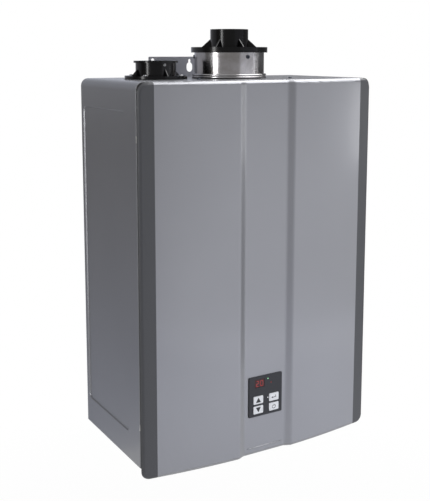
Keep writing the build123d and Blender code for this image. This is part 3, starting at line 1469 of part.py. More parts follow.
def button(x, z):
    """A push button: a cap through the faceplate, a rim behind it and a stem."""
    rim_front = BAND - BUTTON_GAP
    rim_back = rim_front - BUTTON_RIM_T
    cap = plate(rim_back, BAND + PANEL_T + BUTTON_PROUD, rounded_face(x, z, BUTTON_W, BUTTON_H, BUTTON_R))
    rim_w = BUTTON_W + 2 * BUTTON_RIM
    rim_h = BUTTON_H + 2 * BUTTON_RIM
    cap += plate(rim_back, rim_front, rounded_face(x, z, rim_w, rim_h, BUTTON_R))
    half = SWITCH_W / 2
    tip = board_front() + SWITCH_H + BUTTON_TRAVEL + BUTTON_GAP
    return cap + block(x - half, x + half, tip, rim_back, z - half, z + half)


def build_nodes():
    """Every piece of the heater, by name."""
    left_side, right_side, top = case_panels()
    cover, left_trim, right_trim = cover_parts()
    nodes = {
        "back_plate": back_plate(),
        "left_side_panel": left_side,
        "right_side_panel": right_side,
        "top_panel": top,
        "bottom_plate": bottom_plate(),
        "upper_wall_bracket": upper_wall_bracket(),
        "lower_wall_bracket": lower_wall_bracket(),
        "case_fasteners": case_fasteners(),
        "flue_collar": flue_collar(),
        "vent_gaskets": vent_gaskets(),
        "flue_inner_pipe": flue_inner_pipe(),
        "exhaust_adapter": exhaust_adapter(),
        "intake_adapter": intake_adapter(),
        "exhaust_hood": exhaust_hood(),
        "secondary_shell": secondary_shell(),
        "secondary_tubes": secondary_tubes(),
        "primary_jacket": primary_jacket(),
        "primary_fins": primary_fins(),
        "primary_tubes": primary_tubes(),
        "burner_box": burner_box(),
        "burner_bars": burner_bars(),
        "gas_manifold": gas_manifold(),
        "igniter_electrodes": igniter_electrodes(),
        "fan_housing": fan_housing(),
        "fan_motor": fan_motor(),
        "fan_impeller": fan_impeller(),
        "stack_hangers": stack_hangers(),
        "gas_inlet_fitting": fitting(GAS_X),
        "cold_inlet_fitting": fitting(COLD_X),
        "hot_outlet_fitting": fitting(HOT_X),
        "gas_valve_body": gas_valve_body(),
        "gas_plunger": gas_plunger(),
        "gas_pipe": gas_pipe(),
        "inlet_strainer": inlet_strainer(),
        "flow_sensor_body": flow_sensor_body(),
        "flow_turbine": flow_turbine(),
        "water_valve_body": water_valve_body(),
        "water_valve_stem": water_valve_stem(),
        "cold_pipe": cold_pipe(),
        "transfer_pipe": transfer_pipe(),
        "hot_pipe": hot_pipe(),
        "condensate_trap": condensate_trap(),
        "condensate_hose": condensate_hose(),
        "control_board_case": control_board_case(),
        "main_circuit_board": main_circuit_board(),
        "spark_module": spark_module(),
        "cable_gland": cable_gland(),
        "front_cover": cover,
        "left_corner_trim": left_trim,
        "right_corner_trim": right_trim,
        "cover_gasket": cover_gasket(),
        "cover_screws": cover_screws(),
        "control_housing": control_housing(),
        "control_faceplate": control_faceplate(),
        "control_board": control_board(),
        "display_module": display_module(),
    }
    for name, (x, z) in button_places().items():
        nodes[name] = button(x, z)
    return nodes


os.makedirs("parts", exist_ok=True)
for node_name, solid in build_nodes().items():
    export_step(solid, f"parts/{node_name}.step")
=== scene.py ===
import json
import math

import bmesh
import bpy
from mathutils import Matrix, Vector


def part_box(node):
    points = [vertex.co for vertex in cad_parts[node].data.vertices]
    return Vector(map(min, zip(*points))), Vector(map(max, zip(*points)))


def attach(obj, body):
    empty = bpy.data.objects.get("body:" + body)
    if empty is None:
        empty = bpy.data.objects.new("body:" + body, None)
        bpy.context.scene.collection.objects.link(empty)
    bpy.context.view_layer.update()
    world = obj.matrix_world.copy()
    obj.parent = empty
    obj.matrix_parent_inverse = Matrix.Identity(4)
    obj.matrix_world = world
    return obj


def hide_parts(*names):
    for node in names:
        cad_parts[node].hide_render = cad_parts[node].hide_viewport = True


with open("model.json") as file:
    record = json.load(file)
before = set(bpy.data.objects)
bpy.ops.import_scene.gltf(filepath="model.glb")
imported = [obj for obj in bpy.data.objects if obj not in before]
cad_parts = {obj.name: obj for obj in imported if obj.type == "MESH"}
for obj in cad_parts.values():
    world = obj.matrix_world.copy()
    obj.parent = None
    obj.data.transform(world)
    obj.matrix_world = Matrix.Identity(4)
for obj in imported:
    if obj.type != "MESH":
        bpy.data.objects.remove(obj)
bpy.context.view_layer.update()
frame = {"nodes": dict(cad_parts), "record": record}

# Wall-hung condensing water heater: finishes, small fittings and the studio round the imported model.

MM = 0.001
NODES = frame["nodes"]
bpy.ops.object.select_all(action="DESELECT")

# Case, in millimetres as the model has it, like all sizes up to the camera
TOP_Z = -31.5
FLOOR_PLATE_Z = -672.8
SIDE_X = 235.0
CASE_FRONT_Y = -230.7
SHEET = 1.0

# Flue collar and air intake
FLUE_Y = -126.0
COLLAR_R = 62.5
INTAKE_X = -143.0
INTAKE_Y = -118.0
INTAKE_FLANGE_TOP_Z = -25.5
INTAKE_NECK_R = 35.0

# Pan-head screws and their places
VENT_HEAD_R = 3.4
VENT_HEAD_H = 2.0
VENT_SHANK_R = 1.7
VENT_SHANK_L = 5.0
HEAD_ROUND = 1.2
CROSS_RECESS = (3.6, 0.85, 2.2)
COLLAR_SCREW_Z = 6.5
COLLAR_SCREW_ANGLES = (-90.0, 30.0, 150.0)
INTAKE_SCREW_REACH = 46.5
INTAKE_SCREW_ANGLES = (-140.0, -50.0, 40.0, 130.0)
NECK_SCREW_ANGLE = -92.0
NECK_SCREW_Z = -7.0
NECK_SCREW_SIZE = 0.75
TOP_SCREWS = ((-94.4, -182.5), (94.4, -182.5))
TOP_SCREW_TURN = 0.4
COVER_SCREW_X = 150.0
COVER_SCREW_Y = -214.7
COVER_SCREW_SEAT_Z = -674.6
COVER_SCREW_SIZE = 1.32

# Rivets, locating pins and seam clips
RIVET_PLACES = ((-68.0, -51.5), (42.0, -51.5), (-68.0, -652.8), (42.0, -652.8))
RIVET_SEAT_Y = -3.0
RIVET_R = 2.0
RIVET_HEAD_R = 4.0
RIVET_HEAD_H = 1.5
RIVET_SHANK_L = 2.9
MANDREL_INSET = 1.6
MANDREL_DEPTH = 0.8
PIN_PLACES = {"left": -120.0, "right": 120.0}
PIN_Z = -38.9
PIN_R = 3.0
PIN_L = 11.0
PIN_LEAD = 1.4
PIN_GROOVE = (0.8, 1.4)
PIN_GROOVE_DEPTH = 0.35
CLIP_HEIGHTS = {"upper": -122.5, "lower": -601.5}
CLIP_W = 1.3
CLIP_D = 2.4
CLIP_H = 11.0
CLIP_FOLD = 0.5
CLIP_EDGE = 0.3
CLIP_INSET = 0.5
CLIP_BACK = 0.8

# Threaded fittings and cable gland
FITTING_Y = -100.0
FITTING_PLACES = {"gas_inlet_fitting": -105.0, "cold_inlet_fitting": 100.0, "hot_outlet_fitting": 165.0}
FITTING_LOW_Z = -704.8
FITTING_HIGH_Z = -644.8
FITTING_BORE_R = 9.5
FITTING_ROOT_R = 12.3
FITTING_NUT_R = 19.0
FITTING_NUT_T = 5.0
FITTING_NUT_EDGE = 0.7
FITTING_FLANGE_R = 22.0
FITTING_FLANGE_T = 4.0
FITTING_EDGE = 0.6
FITTING_GRIP = 0.05
BORE_OVERRUN = 4.0
THREAD_CREST_R = 13.3
THREAD_PITCH = 1.81
THREAD_TURNS = 13
THREAD_STEPS = 32
THREAD_SINK = 0.2
THREAD_HALF = 0.44
THREAD_START = 0.9
GLAND_X = 205.0
GLAND_BORE_R = 5.0
GLAND_SHANK_R = 11.0
GLAND_SHANK_EDGE = 0.1
GLAND_HEAD_R = 15.0
GLAND_HEAD_H = 7.0
GLAND_DOME_R = 12.8
GLAND_DOME_H = 9.0
GLAND_DOME_ROUND = 2.5
GLAND_NUT_R = 14.0
GLAND_NUT_H = 6.0
GLAND_EDGE = 0.8

# Band of the cover and the crease at its foot
BAND_FRONT_Y = -250.4
BAND_FLAT_X = 42.3
BAND_EDGE_X = 55.5
BAND_SLOPE = 0.418
BAND_SOFT = 3.6
CREASE_Z = -679.5
CREASE_W = 72.0
CREASE_R = 1.15
CREASE_EDGE = 0.3

# Control panel
FACEPLATE_FRONT_Y = -252.0
FACEPLATE_LEFT_X = -35.0
FACEPLATE_EDGE_W = 1.3
DISPLAY_FRONT_Y = -251.5
DISPLAY_X = -12.2
DISPLAY_Z = -561.6
DIGIT_OFFSET = 4.4
BAR_R = 0.62
BAR_T = 0.16
LYING_BAR_REACH = 1.6
UPRIGHT_BAR_REACH = 1.65
BUTTON_FRONT_Y = -252.9
LEFT_BUTTONS_X = -15.3
RIGHT_BUTTONS_X = 17.6
UPPER_BUTTONS_Z = -591.7
LOWER_BUTTONS_Z = -609.5
LAMPS = {"ready_lamp": (5.1, -556.0), "alert_lamp": (11.7, -564.1), "entry_lamp": (5.2, -591.0)}
LAMP_R = 1.1
LAMP_BULGE = 0.45

# Bars of a digit: across, up, and whether the bar lies
DIGIT_BARS = {
    "top": (0, 4.0, True),
    "middle": (0, -0.6, True),
    "foot": (0, -5.2, True),
    "upper_left": (-2.5, 1.7, False),
    "upper_right": (2.5, 1.7, False),
    "lower_left": (-2.5, -2.9, False),
    "lower_right": (2.5, -2.9, False),
}
LIT_TENS = ("top", "upper_right", "middle", "lower_left", "foot")
LIT_UNITS = ("top", "upper_left", "upper_right", "lower_left", "lower_right", "foot")

# Signs on the buttons; a stroke has its place from the button's middle, its width and its height
PRINT_T = 0.12
STROKE = 0.9
ARROW_R = 6.0
ARROW_ROUND = 0.35
ARROW_DROP = 1.5
ENTER_DROP = (3.6, 0.9, STROKE, 3.8)
ENTER_RUN = (0.6, -0.9, 6.9, STROKE)
ENTER_HEAD = (-3.2, -0.9)
ENTER_HEAD_R = 2.2
ENTER_HEAD_ROUND = 0.15
POWER_STROKE = (0.0, 1.9, STROKE, 4.0)
POWER_RING_R = 3.4
POWER_RING_DROP = 0.5
POWER_GAP = 0.45

# Main circuit board; the colours of its parts go up the board
BOARD_T = 1.6
BOARD_SKIN = 0.2
BOARD_COLOURS = ((0.0, "#2A2520"), (0.26, "#1E3A6B"), (0.45, "#18181C"), (0.66, "#D9D6C8"))

# Camera that sees the object as the photograph does
CAMERA_PLACE = (-0.8109, -1.4548, 0.0127)
CAMERA_YAW = 30.460
CAMERA_PITCH = -8.099
CAMERA_LENS = 61.66
CAMERA_SHIFT_Y = -0.15

# Studio, in metres
FLOOR_Z = -1.3
FLOOR_SIZE = 40.0
FLOOR_FADE = (0.2, 1.4)
FLOOR_WHITE = 0.93
AMBIENT = 0.45

# Soft lights: place, target, width, height, radiance (1 is as bright as the white surround) and colour
SOFT_LIGHTS = {
    "front_softbox": ((1.1, -2.2, -0.8), (0, -0.2, -0.4), 2.4, 1.5, 0.84, "#FAFBFF"),
    "low_fill": ((0.5, -1.25, -1.2), (0.05, -0.25, -0.62), 1.8, 0.7, 0.58, "#DDE4FF"),
    "overhead_softbox": ((0.9, -0.45, 1.31), (0, -0.25, -0.03), 2.4, 1.3, 2.45, "#FFFFFF"),
}

# Lights that give only glints, in the same order of values
GLINT_LIGHTS = {
    "edge_light": ((1.0, -0.6, 1.25), (0, -0.25, -0.03), 3.0, 1.5, 2.9, "#FFFFFF"),
    "upper_strip": ((-1.85, -0.58, 0.35), (0, -0.12, 0.35), 0.24, 1.14, 11.0, "#FFFFFF"),
    "lower_strip": ((-1.85, -0.58, -0.58), (0, -0.12, -0.58), 0.24, 0.72, 3.6, "#FFFFFF"),
    "right_upper_strip": ((1.86, -0.7, -0.25), (0, -0.25, -0.25), 0.3, 0.34, 1.8, "#FFFFFF"),
    "right_top_strip": ((1.7, -1.12, -0.25), (0, -0.25, -0.25), 0.34, 0.3, 4.4, "#FFFFFF"),
    "right_lower_strip": ((1.76, -1.1, -0.87), (0, -0.25, -0.87), 0.4, 0.66, 0.9, "#FFFFFF"),
}

# Grey flags: left and right end on the floor, and the greys from foot to top
FLAG_TOP = 1.2
GREY_FLAGS = {
    "back_left_flag": ((-2.2, 0.9), (-0.1, 1.1),
                       ((0.0, "#B4B8C8"), (0.27, "#909096"), (0.43, "#747272"), (0.5, "#A8A8AC"),
                        (0.6, "#B0B2BA"), (1.0, "#B8BCC8"))),
    "back_middle_flag": ((-0.1, 1.1), (0.72, 1.15),
                         ((0.0, "#A0A4B4"), (0.45, "#C4C8D4"), (1.0, "#B8BCC8"))),
    "back_right_flag": ((0.72, 1.15), (1.8, 1.3),
                        ((0.0, "#8A8A90"), (0.6, "#7C7C80"), (1.0, "#A4A6AE"))),
    "left_gap_flag": ((-2.2, 0.9), (-2.1, -0.4),
                      ((0.0, "#6E6C6A"), (1.0, "#787674"))),
    "left_front_flag": ((-1.9, -1.0), (0.15, -2.1),
                        ((0.0, "#CCCCD4"), (0.46, "#C4C4C8"), (0.52, "#969492"), (1.0, "#969492"))),
    "front_card": ((0.1, -2.95), (2.35, -1.75),
                   ((0.0, "#B8B8BC"), (0.46, "#B8B8BC"), (0.53, "#98989E"), (1.0, "#98989E"))),
    "right_gap_flag": ((2.35, -1.75), (2.05, -1.3),
                       ((0.0, "#C0C2C8"), (0.46, "#B8B8BC"), (0.52, "#A4A8B4"), (1.0, "#A4A8B4"))),
    "right_back_flag": ((2.05, -1.3), (1.8, 1.3),
                        ((0.0, "#565658"), (0.5, "#565658"), (0.54, "#686868"), (1.0, "#686868"))),
}


# Colour and node helpers

def linear(hex_colour):
    """Turns an sRGB hex colour into linear RGBA."""
    channels = [int(hex_colour[at:at + 2], 16) / 255 for at in (1, 3, 5)]
    return [c / 12.92 if c <= 0.04045 else ((c + 0.055) / 1.055) ** 2.4 for c in channels] + [1.0]


def add_node(tree, kind, inputs=None, **settings):
    """Adds one node; an input is a value, or the socket that feeds it."""
    node = tree.nodes.new(kind)
    for name, value in settings.items():
        setattr(node, name, value)
    for name, value in (inputs or {}).items():
        if isinstance(value, bpy.types.NodeSocket):
            tree.links.new(value, node.inputs[name])
        else:
            node.inputs[name].default_value = value
    return node


def start_material(name):
    """Gives a new material, its node tree, its shader and the Object coordinates."""
    material = bpy.data.materials.new(name)
    material.use_nodes = True
    tree = material.node_tree
    shader = tree.nodes["Principled BSDF"]
    place = add_node(tree, "ShaderNodeTexCoord").outputs["Object"]
    return material, tree, shader, place


def clouds_across(tree, place, size_mm, detail):
    """Noise in clouds about size_mm across."""
    noise = add_node(tree, "ShaderNodeTexNoise", {"Vector": place, "Scale": 1 / (size_mm * MM),
                                                  "Detail": detail})
    return noise.outputs["Fac"]


def tone(tree, factor, low_hex, high_hex):
    """Runs from one hex colour to another as a factor socket goes from nought to one."""
    mix = add_node(tree, "ShaderNodeMix", {0: factor, 6: linear(low_hex), 7: linear(high_hex)},
                   data_type="RGBA")
    return mix.outputs[2]


def ramp(tree, factor, stops, blend):
    """Runs through hex colours, each at its own share of a factor socket."""
    colours = add_node(tree, "ShaderNodeValToRGB", {"Fac": factor})
    colours.color_ramp.interpolation = blend
    while len(colours.color_ramp.elements) < len(stops):
        colours.color_ramp.elements.new(0.5)
    for element, (share, hex_colour) in zip(colours.color_ramp.elements, stops):
        element.position = share
        element.color = linear(hex_colour)
    return colours.outputs["Color"]


def colour_by(tree, shader, factor, low_hex, high_hex):
    """Lets a factor socket run the base colour between two tones."""
    tree.links.new(tone(tree, factor, low_hex, high_hex), shader.inputs["Base Color"])


def roughen_by(tree, shader, factor, low, high, span=(0.0, 1.0)):
    """Lets a factor socket run the roughness from low to high as it crosses its span."""
    rough = add_node(tree, "ShaderNodeMapRange", {"Value": factor, "From Min": span[0], "From Max": span[1],
                                                  "To Min": low, "To Max": high})
    tree.links.new(rough.outputs["Result"], shader.inputs["Roughness"])


def raise_by(tree, shader, height, strength, depth_mm):
    """Lets a height socket raise the surface by depth_mm at most; gives the bump node."""
    bump = add_node(tree, "ShaderNodeBump", {"Height": height, "Strength": strength,
                                             "Distance": depth_mm * MM})
    tree.links.new(bump.outputs["Normal"], shader.inputs["Normal"])
    return bump


# Finishes

def pressed_band(tree, place):
    """The normal of the cover with the band's pressed edges rolled over, as the sheet leaves the press."""
    across = add_node(tree, "ShaderNodeSeparateXYZ", {"Vector": place}).outputs["X"]
    out = add_node(tree, "ShaderNodeMath", {0: across}, operation="ABSOLUTE").outputs[0]
    rolls = []
    for edge in (BAND_FLAT_X, BAND_EDGE_X):
        off = add_node(tree, "ShaderNodeMath", {0: out, 1: edge * MM}, operation="SUBTRACT").outputs[0]
        far = add_node(tree, "ShaderNodeMath", {0: off}, operation="ABSOLUTE").outputs[0]
        near = add_node(tree, "ShaderNodeMapRange", {"Value": far, "From Max": BAND_SOFT * MM, "To Min": 1.0,
                                                     "To Max": 0.0}).outputs["Result"]
        rolls.append(add_node(tree, "ShaderNodeMath", {0: near, 1: 2.0}, operation="POWER").outputs[0])
    height = add_node(tree, "ShaderNodeMath", {0: rolls[0], 1: rolls[1]}, operation="SUBTRACT").outputs[0]
    roll = add_node(tree, "ShaderNodeBump", {"Height": height, "Distance": BAND_SLOPE / 4 * BAND_SOFT * MM})
    return roll.outputs["Normal"]


def powder_coat(name, low_hex, high_hex, metallic, roughness, banded=False):
    """Semi-gloss polyester powder coat with aluminium flake: soft clouds of tone, faint orange peel."""
    material, tree, shader, place = start_material(name)
    # clouds 180 mm across, orange peel 3 mm across (real peel is nearer 1 mm, too fine to show)
    clouds = clouds_across(tree, place, 180, 2.0)
    peel = clouds_across(tree, place, 3, 2.0)
    colour_by(tree, shader, clouds, low_hex, high_hex)
    roughen_by(tree, shader, peel, roughness - 0.04, roughness + 0.04)
    bump = raise_by(tree, shader, peel, 0.02, 0.3)
    if banded:
        tree.links.new(pressed_band(tree, place), bump.inputs["Normal"])
    shader.inputs["Metallic"].default_value = metallic
    shader.inputs["Coat Weight"].default_value = 0.4
    shader.inputs["Coat Roughness"].default_value = 0.12
    return material


def moulded_plastic(name, low_hex, high_hex, roughness, grain_mm, relief, glint="#FFFFFF"):
    """Moulded thermoplastic: even colour, fine sparked texture in the gloss, a white or a duller glint."""
    material, tree, shader, place = start_material(name)
    grain = clouds_across(tree, place, grain_mm, 3.0)
    colour_by(tree, shader, grain, low_hex, high_hex)
    roughen_by(tree, shader, grain, roughness - 0.05, roughness + 0.05)
    raise_by(tree, shader, grain, relief, 0.2)
    shader.inputs["IOR"].default_value = 1.5
    shader.inputs["Specular Tint"].default_value = linear(glint)
    return material


def edged_overlay(name, low_hex, high_hex, edge_hex):
    """Screen-printed polycarbonate overlay: satin grey face, black in a strip along its left edge."""
    material, tree, shader, place = start_material(name)
    grain = clouds_across(tree, place, 1.0, 3.0)
    face = tone(tree, grain, low_hex, high_hex)
    across = add_node(tree, "ShaderNodeSeparateXYZ", {"Vector": place}).outputs["X"]
    edge_end = (FACEPLATE_LEFT_X + FACEPLATE_EDGE_W) * MM
    edge = add_node(tree, "ShaderNodeMath", {0: across, 1: edge_end}, operation="LESS_THAN")
    mix = add_node(tree, "ShaderNodeMix", {0: edge.outputs[0], 6: face, 7: linear(edge_hex)},
                   data_type="RGBA")
    tree.links.new(mix.outputs[2], shader.inputs["Base Color"])
    raise_by(tree, shader, grain, 0.05, 0.1)
    shader.inputs["Roughness"].default_value = 0.5
    shader.inputs["IOR"].default_value = 1.58
    shader.inputs["Specular IOR Level"].default_value = 0.25
    return material


def worked_metal(name, low_hex, high_hex, roughness, line_mm, long_axes):
    """Rolled, drawn or brushed metal: fine lines the way it was worked, brighter and duller by turns."""
    material, tree, shader, place = start_material(name)
    # lines line_mm apart, sixty times as long along the axes named
    scales = [1 / (60 * line_mm * MM) if axis in long_axes else 1 / (line_mm * MM) for axis in "XYZ"]
    stretch = add_node(tree, "ShaderNodeMapping", {"Vector": place, "Scale": scales})
    lines = add_node(tree, "ShaderNodeTexNoise", {"Vector": stretch.outputs["Vector"], "Scale": 1.0,
                                                  "Detail": 3.0}).outputs["Fac"]
    colour_by(tree, shader, lines, low_hex, high_hex)
    roughen_by(tree, shader, lines, roughness - 0.08, roughness + 0.08)
    shader.inputs["Metallic"].default_value = 1.0
    return material


def clouded_steel(name, low_hex, high_hex):
    """Thin spun stainless sheet: thumb-sized clouds where it is dull and where it is bright."""
    material, tree, shader, place = start_material(name)
    clouds = clouds_across(tree, place, 24, 2.0)
    colour_by(tree, shader, clouds, low_hex, high_hex)
    roughen_by(tree, shader, clouds, 0.13, 0.24, span=(0.3, 0.7))
    raise_by(tree, shader, clouds, 0.1, 1.0)
    shader.inputs["Metallic"].default_value = 1.0
    return material


def stuffed_board(name, node, low_hex, high_hex):
    """A circuit board: green solder mask, and on it parts whose colour goes by their height."""
    low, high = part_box(node)
    material, tree, shader, place = start_material(name)
    axes = add_node(tree, "ShaderNodeSeparateXYZ", {"Vector": place})
    # copper shows through the mask in patches 5 mm across
    traces = add_node(tree, "ShaderNodeTexVoronoi", {"Vector": place, "Scale": 1 / (5 * MM)},
                      distance="CHEBYCHEV")
    mask = tone(tree, traces.outputs["Distance"], low_hex, high_hex)
    rise = add_node(tree, "ShaderNodeMapRange", {"Value": axes.outputs["Z"], "From Min": low[2],
                                                 "From Max": high[2]})
    parts = ramp(tree, rise.outputs["Result"], BOARD_COLOURS, "CONSTANT")
    skin = high[1] - (BOARD_T + BOARD_SKIN) * MM
    proud = add_node(tree, "ShaderNodeMath", {0: axes.outputs["Y"], 1: skin}, operation="LESS_THAN")
    mix = add_node(tree, "ShaderNodeMix", {0: proud.outputs[0], 6: mask, 7: parts}, data_type="RGBA")
    tree.links.new(mix.outputs[2], shader.inputs["Base Color"])
    shader.inputs["Roughness"].default_value = 0.4
    return material


def cast_metal(name, low_hex, high_hex, roughness):
    """Cast or forged metal: mottled tone and a pitted skin."""
    material, tree, shader, place = start_material(name)
    pits = clouds_across(tree, place, 2.5, 4.0)
    colour_by(tree, shader, pits, low_hex, high_hex)
    raise_by(tree, shader, pits, 0.2, 0.3)
    shader.inputs["Roughness"].default_value = roughness
    shader.inputs["Metallic"].default_value = 1.0
    return material


def spangled_zinc(name, low_hex, high_hex):
    """Hot-dip galvanised sheet: pale grey crystals a few millimetres across, each its own tone."""
    material, tree, shader, place = start_material(name)
    spangle = add_node(tree, "ShaderNodeTexVoronoi", {"Vector": place, "Scale": 1 / (7 * MM)})
    crystal = add_node(tree, "ShaderNodeSeparateColor", {"Color": spangle.outputs["Color"]}).outputs["Red"]
    colour_by(tree, shader, crystal, low_hex, high_hex)
    roughen_by(tree, shader, crystal, 0.34, 0.42)
    shader.inputs["Metallic"].default_value = 1.0
    return material


def lit_acrylic(name, low_hex, high_hex, glow):
    """Diffusing acrylic over a small light: coloured through, glowing, glossy on top."""
    material, tree, shader, place = start_material(name)
    colour_by(tree, shader, clouds_across(tree, place, 0.8, 2.0), low_hex, high_hex)
    shader.inputs["Emission Color"].default_value = linear(high_hex)
    shader.inputs["Emission Strength"].default_value = glow
    shader.inputs["Roughness"].default_value = 0.15
    return material


# Powder coats, with metallic share and roughness: pale cover, sides in a slightly darker copy of the cover's
# paint as painted shade, flatter bracket
SILVER = powder_coat("silver_powder_coat", "#87888D", "#8F9095", 0.4, 0.34, banded=True)
SHADED_SIDE_SILVER = powder_coat("side_powder_coat_painted_shade", "#818287", "#898A8F", 0.35, 0.36)
BRACKET = powder_coat("bracket_powder_coat", "#93949C", "#9B9CA4", 0.5, 0.4)

# Mouldings, with roughness, grain in millimetres and relief: satin trims, glossy vents, panel, inner pieces
CHARCOAL = moulded_plastic("charcoal_abs", "#4B4C50", "#525357", 0.42, 1.2, 0.04, glint="#DADADA")
BLACK = moulded_plastic("black_glossy_ppe", "#08080A", "#0D0D0F", 0.18, 2.0, 0.0, glint="#CCCCCC")
FACEPLATE = edged_overlay("grey_polycarbonate_overlay", "#2B2C32", "#313238", "#08080A")
DISPLAY = moulded_plastic("maroon_display_acrylic", "#3A1214", "#431719", 0.3, 3.0, 0.0, glint="#C0C0C0")
BUTTON = moulded_plastic("white_abs_buttons", "#EEF0F5", "#F4F6FA", 0.38, 1.0, 0.04)
PRINT = moulded_plastic("dark_pad_print", "#1C1D20", "#232428", 0.5, 0.8, 0.05)
WHITE = moulded_plastic("white_polypropylene", "#DEDED8", "#E8E8E2", 0.45, 1.5, 0.05)
GREY = moulded_plastic("grey_polyamide", "#8A8C8E", "#949698", 0.5, 1.5, 0.08)
RUBBER = moulded_plastic("epdm_seal_rubber", "#141415", "#1C1C1D", 0.75, 0.8, 0.2)
BOARD = moulded_plastic("green_solder_mask", "#1F5A35", "#2A6B40", 0.4, 2.0, 0.05)
MAIN_BOARD = stuffed_board("stuffed_main_board", "main_circuit_board", "#17492B", "#2F7046")
CERAMIC = moulded_plastic("glazed_alumina", "#EDEBE4", "#F4F2EC", 0.25, 2.0, 0.02)

# Metals, with roughness, and for worked ones the lines' spacing in millimetres and their way
GALVANISED = spangled_zinc("galvanised_sheet", "#B2B4B7", "#C2C3C6")
COLLAR_STEEL = clouded_steel("spun_stainless_collar", "#9A9592", "#C6C6CA")
ZINC = worked_metal("dull_zinc_screws", "#8B8C8E", "#A2A3A5", 0.4, 0.4, "Z")
DARK_SCREW = worked_metal("blackened_steel_screws", "#3A3D45", "#4A4D55", 0.45, 0.4, "Z")
STAINLESS = worked_metal("rolled_stainless", "#A9A8A6", "#C6C5C2", 0.3, 0.8, "Z")
COPPER = worked_metal("drawn_copper", "#9A5C43", "#B87A5D", 0.3, 0.8, "Z")
BRASS = cast_metal("forged_brass", "#A98A4E", "#C2A264", 0.35)
ALUMINIUM = cast_metal("die_cast_aluminium", "#9A9B9D", "#B4B5B7", 0.45)
MOTOR = cast_metal("black_motor_steel", "#3A3B3D", "#4A4B4D", 0.45)

# Lamps and display bars, with their glow
GREEN_LIGHT = lit_acrylic("green_lamp_acrylic", "#5FBF7A", "#9BE5AE", 0.6)
RED_LIGHT = lit_acrylic("red_lamp_acrylic", "#7A2020", "#9A2A28", 0.3)
WHITE_LIGHT = lit_acrylic("white_lamp_acrylic", "#E4E4EA", "#F2F2F6", 0.4)
LIT_SEGMENT = lit_acrylic("lit_red_segment", "#8A1F1D", "#982523", 0.4)
DARK_SEGMENT = lit_acrylic("unlit_red_segment", "#33100F", "#3A1312", 0.0)

FINISHES = {
    "silver_paint": SILVER, "side_paint": SHADED_SIDE_SILVER, "charcoal_plastic": CHARCOAL,
    "bracket_steel": BRACKET, "galvanised_steel": GALVANISED, "zinc_screws": ZINC,
    "black_plastic": BLACK, "seal_rubber": RUBBER, "stainless_steel": STAINLESS,
    "copper": COPPER, "brass": BRASS, "cast_aluminium": ALUMINIUM,
    "motor_steel": MOTOR, "white_plastic": WHITE, "grey_plastic": GREY, "board_green": BOARD,
    "faceplate_grey": FACEPLATE, "display_dark": DISPLAY, "button_white": BUTTON, "ceramic": CERAMIC,
}
for subpart in frame["record"]["subparts"]:
    NODES[subpart["node"]].material_slots[0].material = FINISHES[subpart["material_slot"]]
NODES["flue_collar"].material_slots[0].material = COLLAR_STEEL
NODES["main_circuit_board"].material_slots[0].material = MAIN_BOARD


# Modelling helpers

def mm(*values):
    """Millimetres as metres."""
    return tuple(value * MM for value in values)


def pick(kind, test):
    """In edit mode, selects the faces, edges or vertices that pass a test."""
    bpy.ops.mesh.select_mode(type=kind)
    bpy.ops.mesh.select_all(action="DESELECT")
    mesh = bmesh.from_edit_mesh(bpy.context.object.data)
    for item in {"FACE": mesh.faces, "EDGE": mesh.edges, "VERT": mesh.verts}[kind]:
        item.select_set(test(item))
    bmesh.update_edit_mesh(bpy.context.object.data)


def pick_faces(test):
    """In edit mode, selects the faces whose middle and normal pass a test."""
    pick("FACE", lambda face: test(face.calc_center_median(), face.normal))


def pick_edges(test):
    """In edit mode, selects the edges whose two ends pass a test."""
    pick("EDGE", lambda edge: test(edge.verts[0].co, edge.verts[1].co))


def join(pieces):
    """Joins pieces into the last one."""
    bpy.ops.object.select_all(action="DESELECT")
    for piece in pieces:
        piece.select_set(True)
    bpy.context.view_layer.objects.active = pieces[-1]
    bpy.ops.object.join()
    return bpy.context.object


def cut_away(body, cutter):
    """Takes one solid from another and removes the cutter."""
    bpy.ops.object.select_all(action="DESELECT")
    bpy.context.view_layer.objects.active = body
    cut = body.modifiers.new("cut", "BOOLEAN")
    cut.operation = "DIFFERENCE"
    cut.solver = "EXACT"
    cut.object = cutter
    bpy.ops.object.modifier_apply(modifier=cut.name)
    cutter.select_set(True)
    bpy.ops.object.delete()
    body.select_set(True)
    return body


def copy_to(master, matrix):
    """A copy of a modelled piece, with its own mesh, at a new place."""
    bpy.ops.object.select_all(action="DESELECT")
    master.select_set(True)
    bpy.context.view_layer.objects.active = master
    bpy.ops.object.duplicate(linked=False)
    copy = bpy.context.object
    copy.matrix_world = matrix
    return copy


def remove(piece):
    """Deletes a master once its copies are made."""
    bpy.ops.object.select_all(action="DESELECT")
    piece.select_set(True)
    bpy.ops.object.delete()


def hang(piece, name, body, finish):
    """Names a piece, puts its place into its mesh, gives its finish and hangs it on a body."""
    bpy.ops.object.select_all(action="DESELECT")
    piece.select_set(True)
    bpy.context.view_layer.objects.active = piece
    bpy.ops.object.transform_apply(location=True, rotation=True, scale=True)
    piece.name = name
    piece.data.name = name
    piece.data.materials.clear()
    piece.data.materials.append(finish)
    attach(piece, body)
    piece.select_set(False)
    return piece


# Signs on the buttons

def flat_triangle(radius, rounding, segments):
    """A printed triangle with softened corners."""
    bpy.ops.mesh.primitive_cylinder_add(vertices=3, radius=radius * MM, depth=PRINT_T * MM)
    triangle = bpy.context.object
    bpy.ops.object.mode_set(mode="EDIT")
    pick_edges(lambda a, b: abs(a.z - b.z) > 0.5 * PRINT_T * MM)
    bpy.ops.mesh.bevel(offset=rounding * MM, segments=segments)
    bpy.ops.object.mode_set(mode="OBJECT")
    return triangle


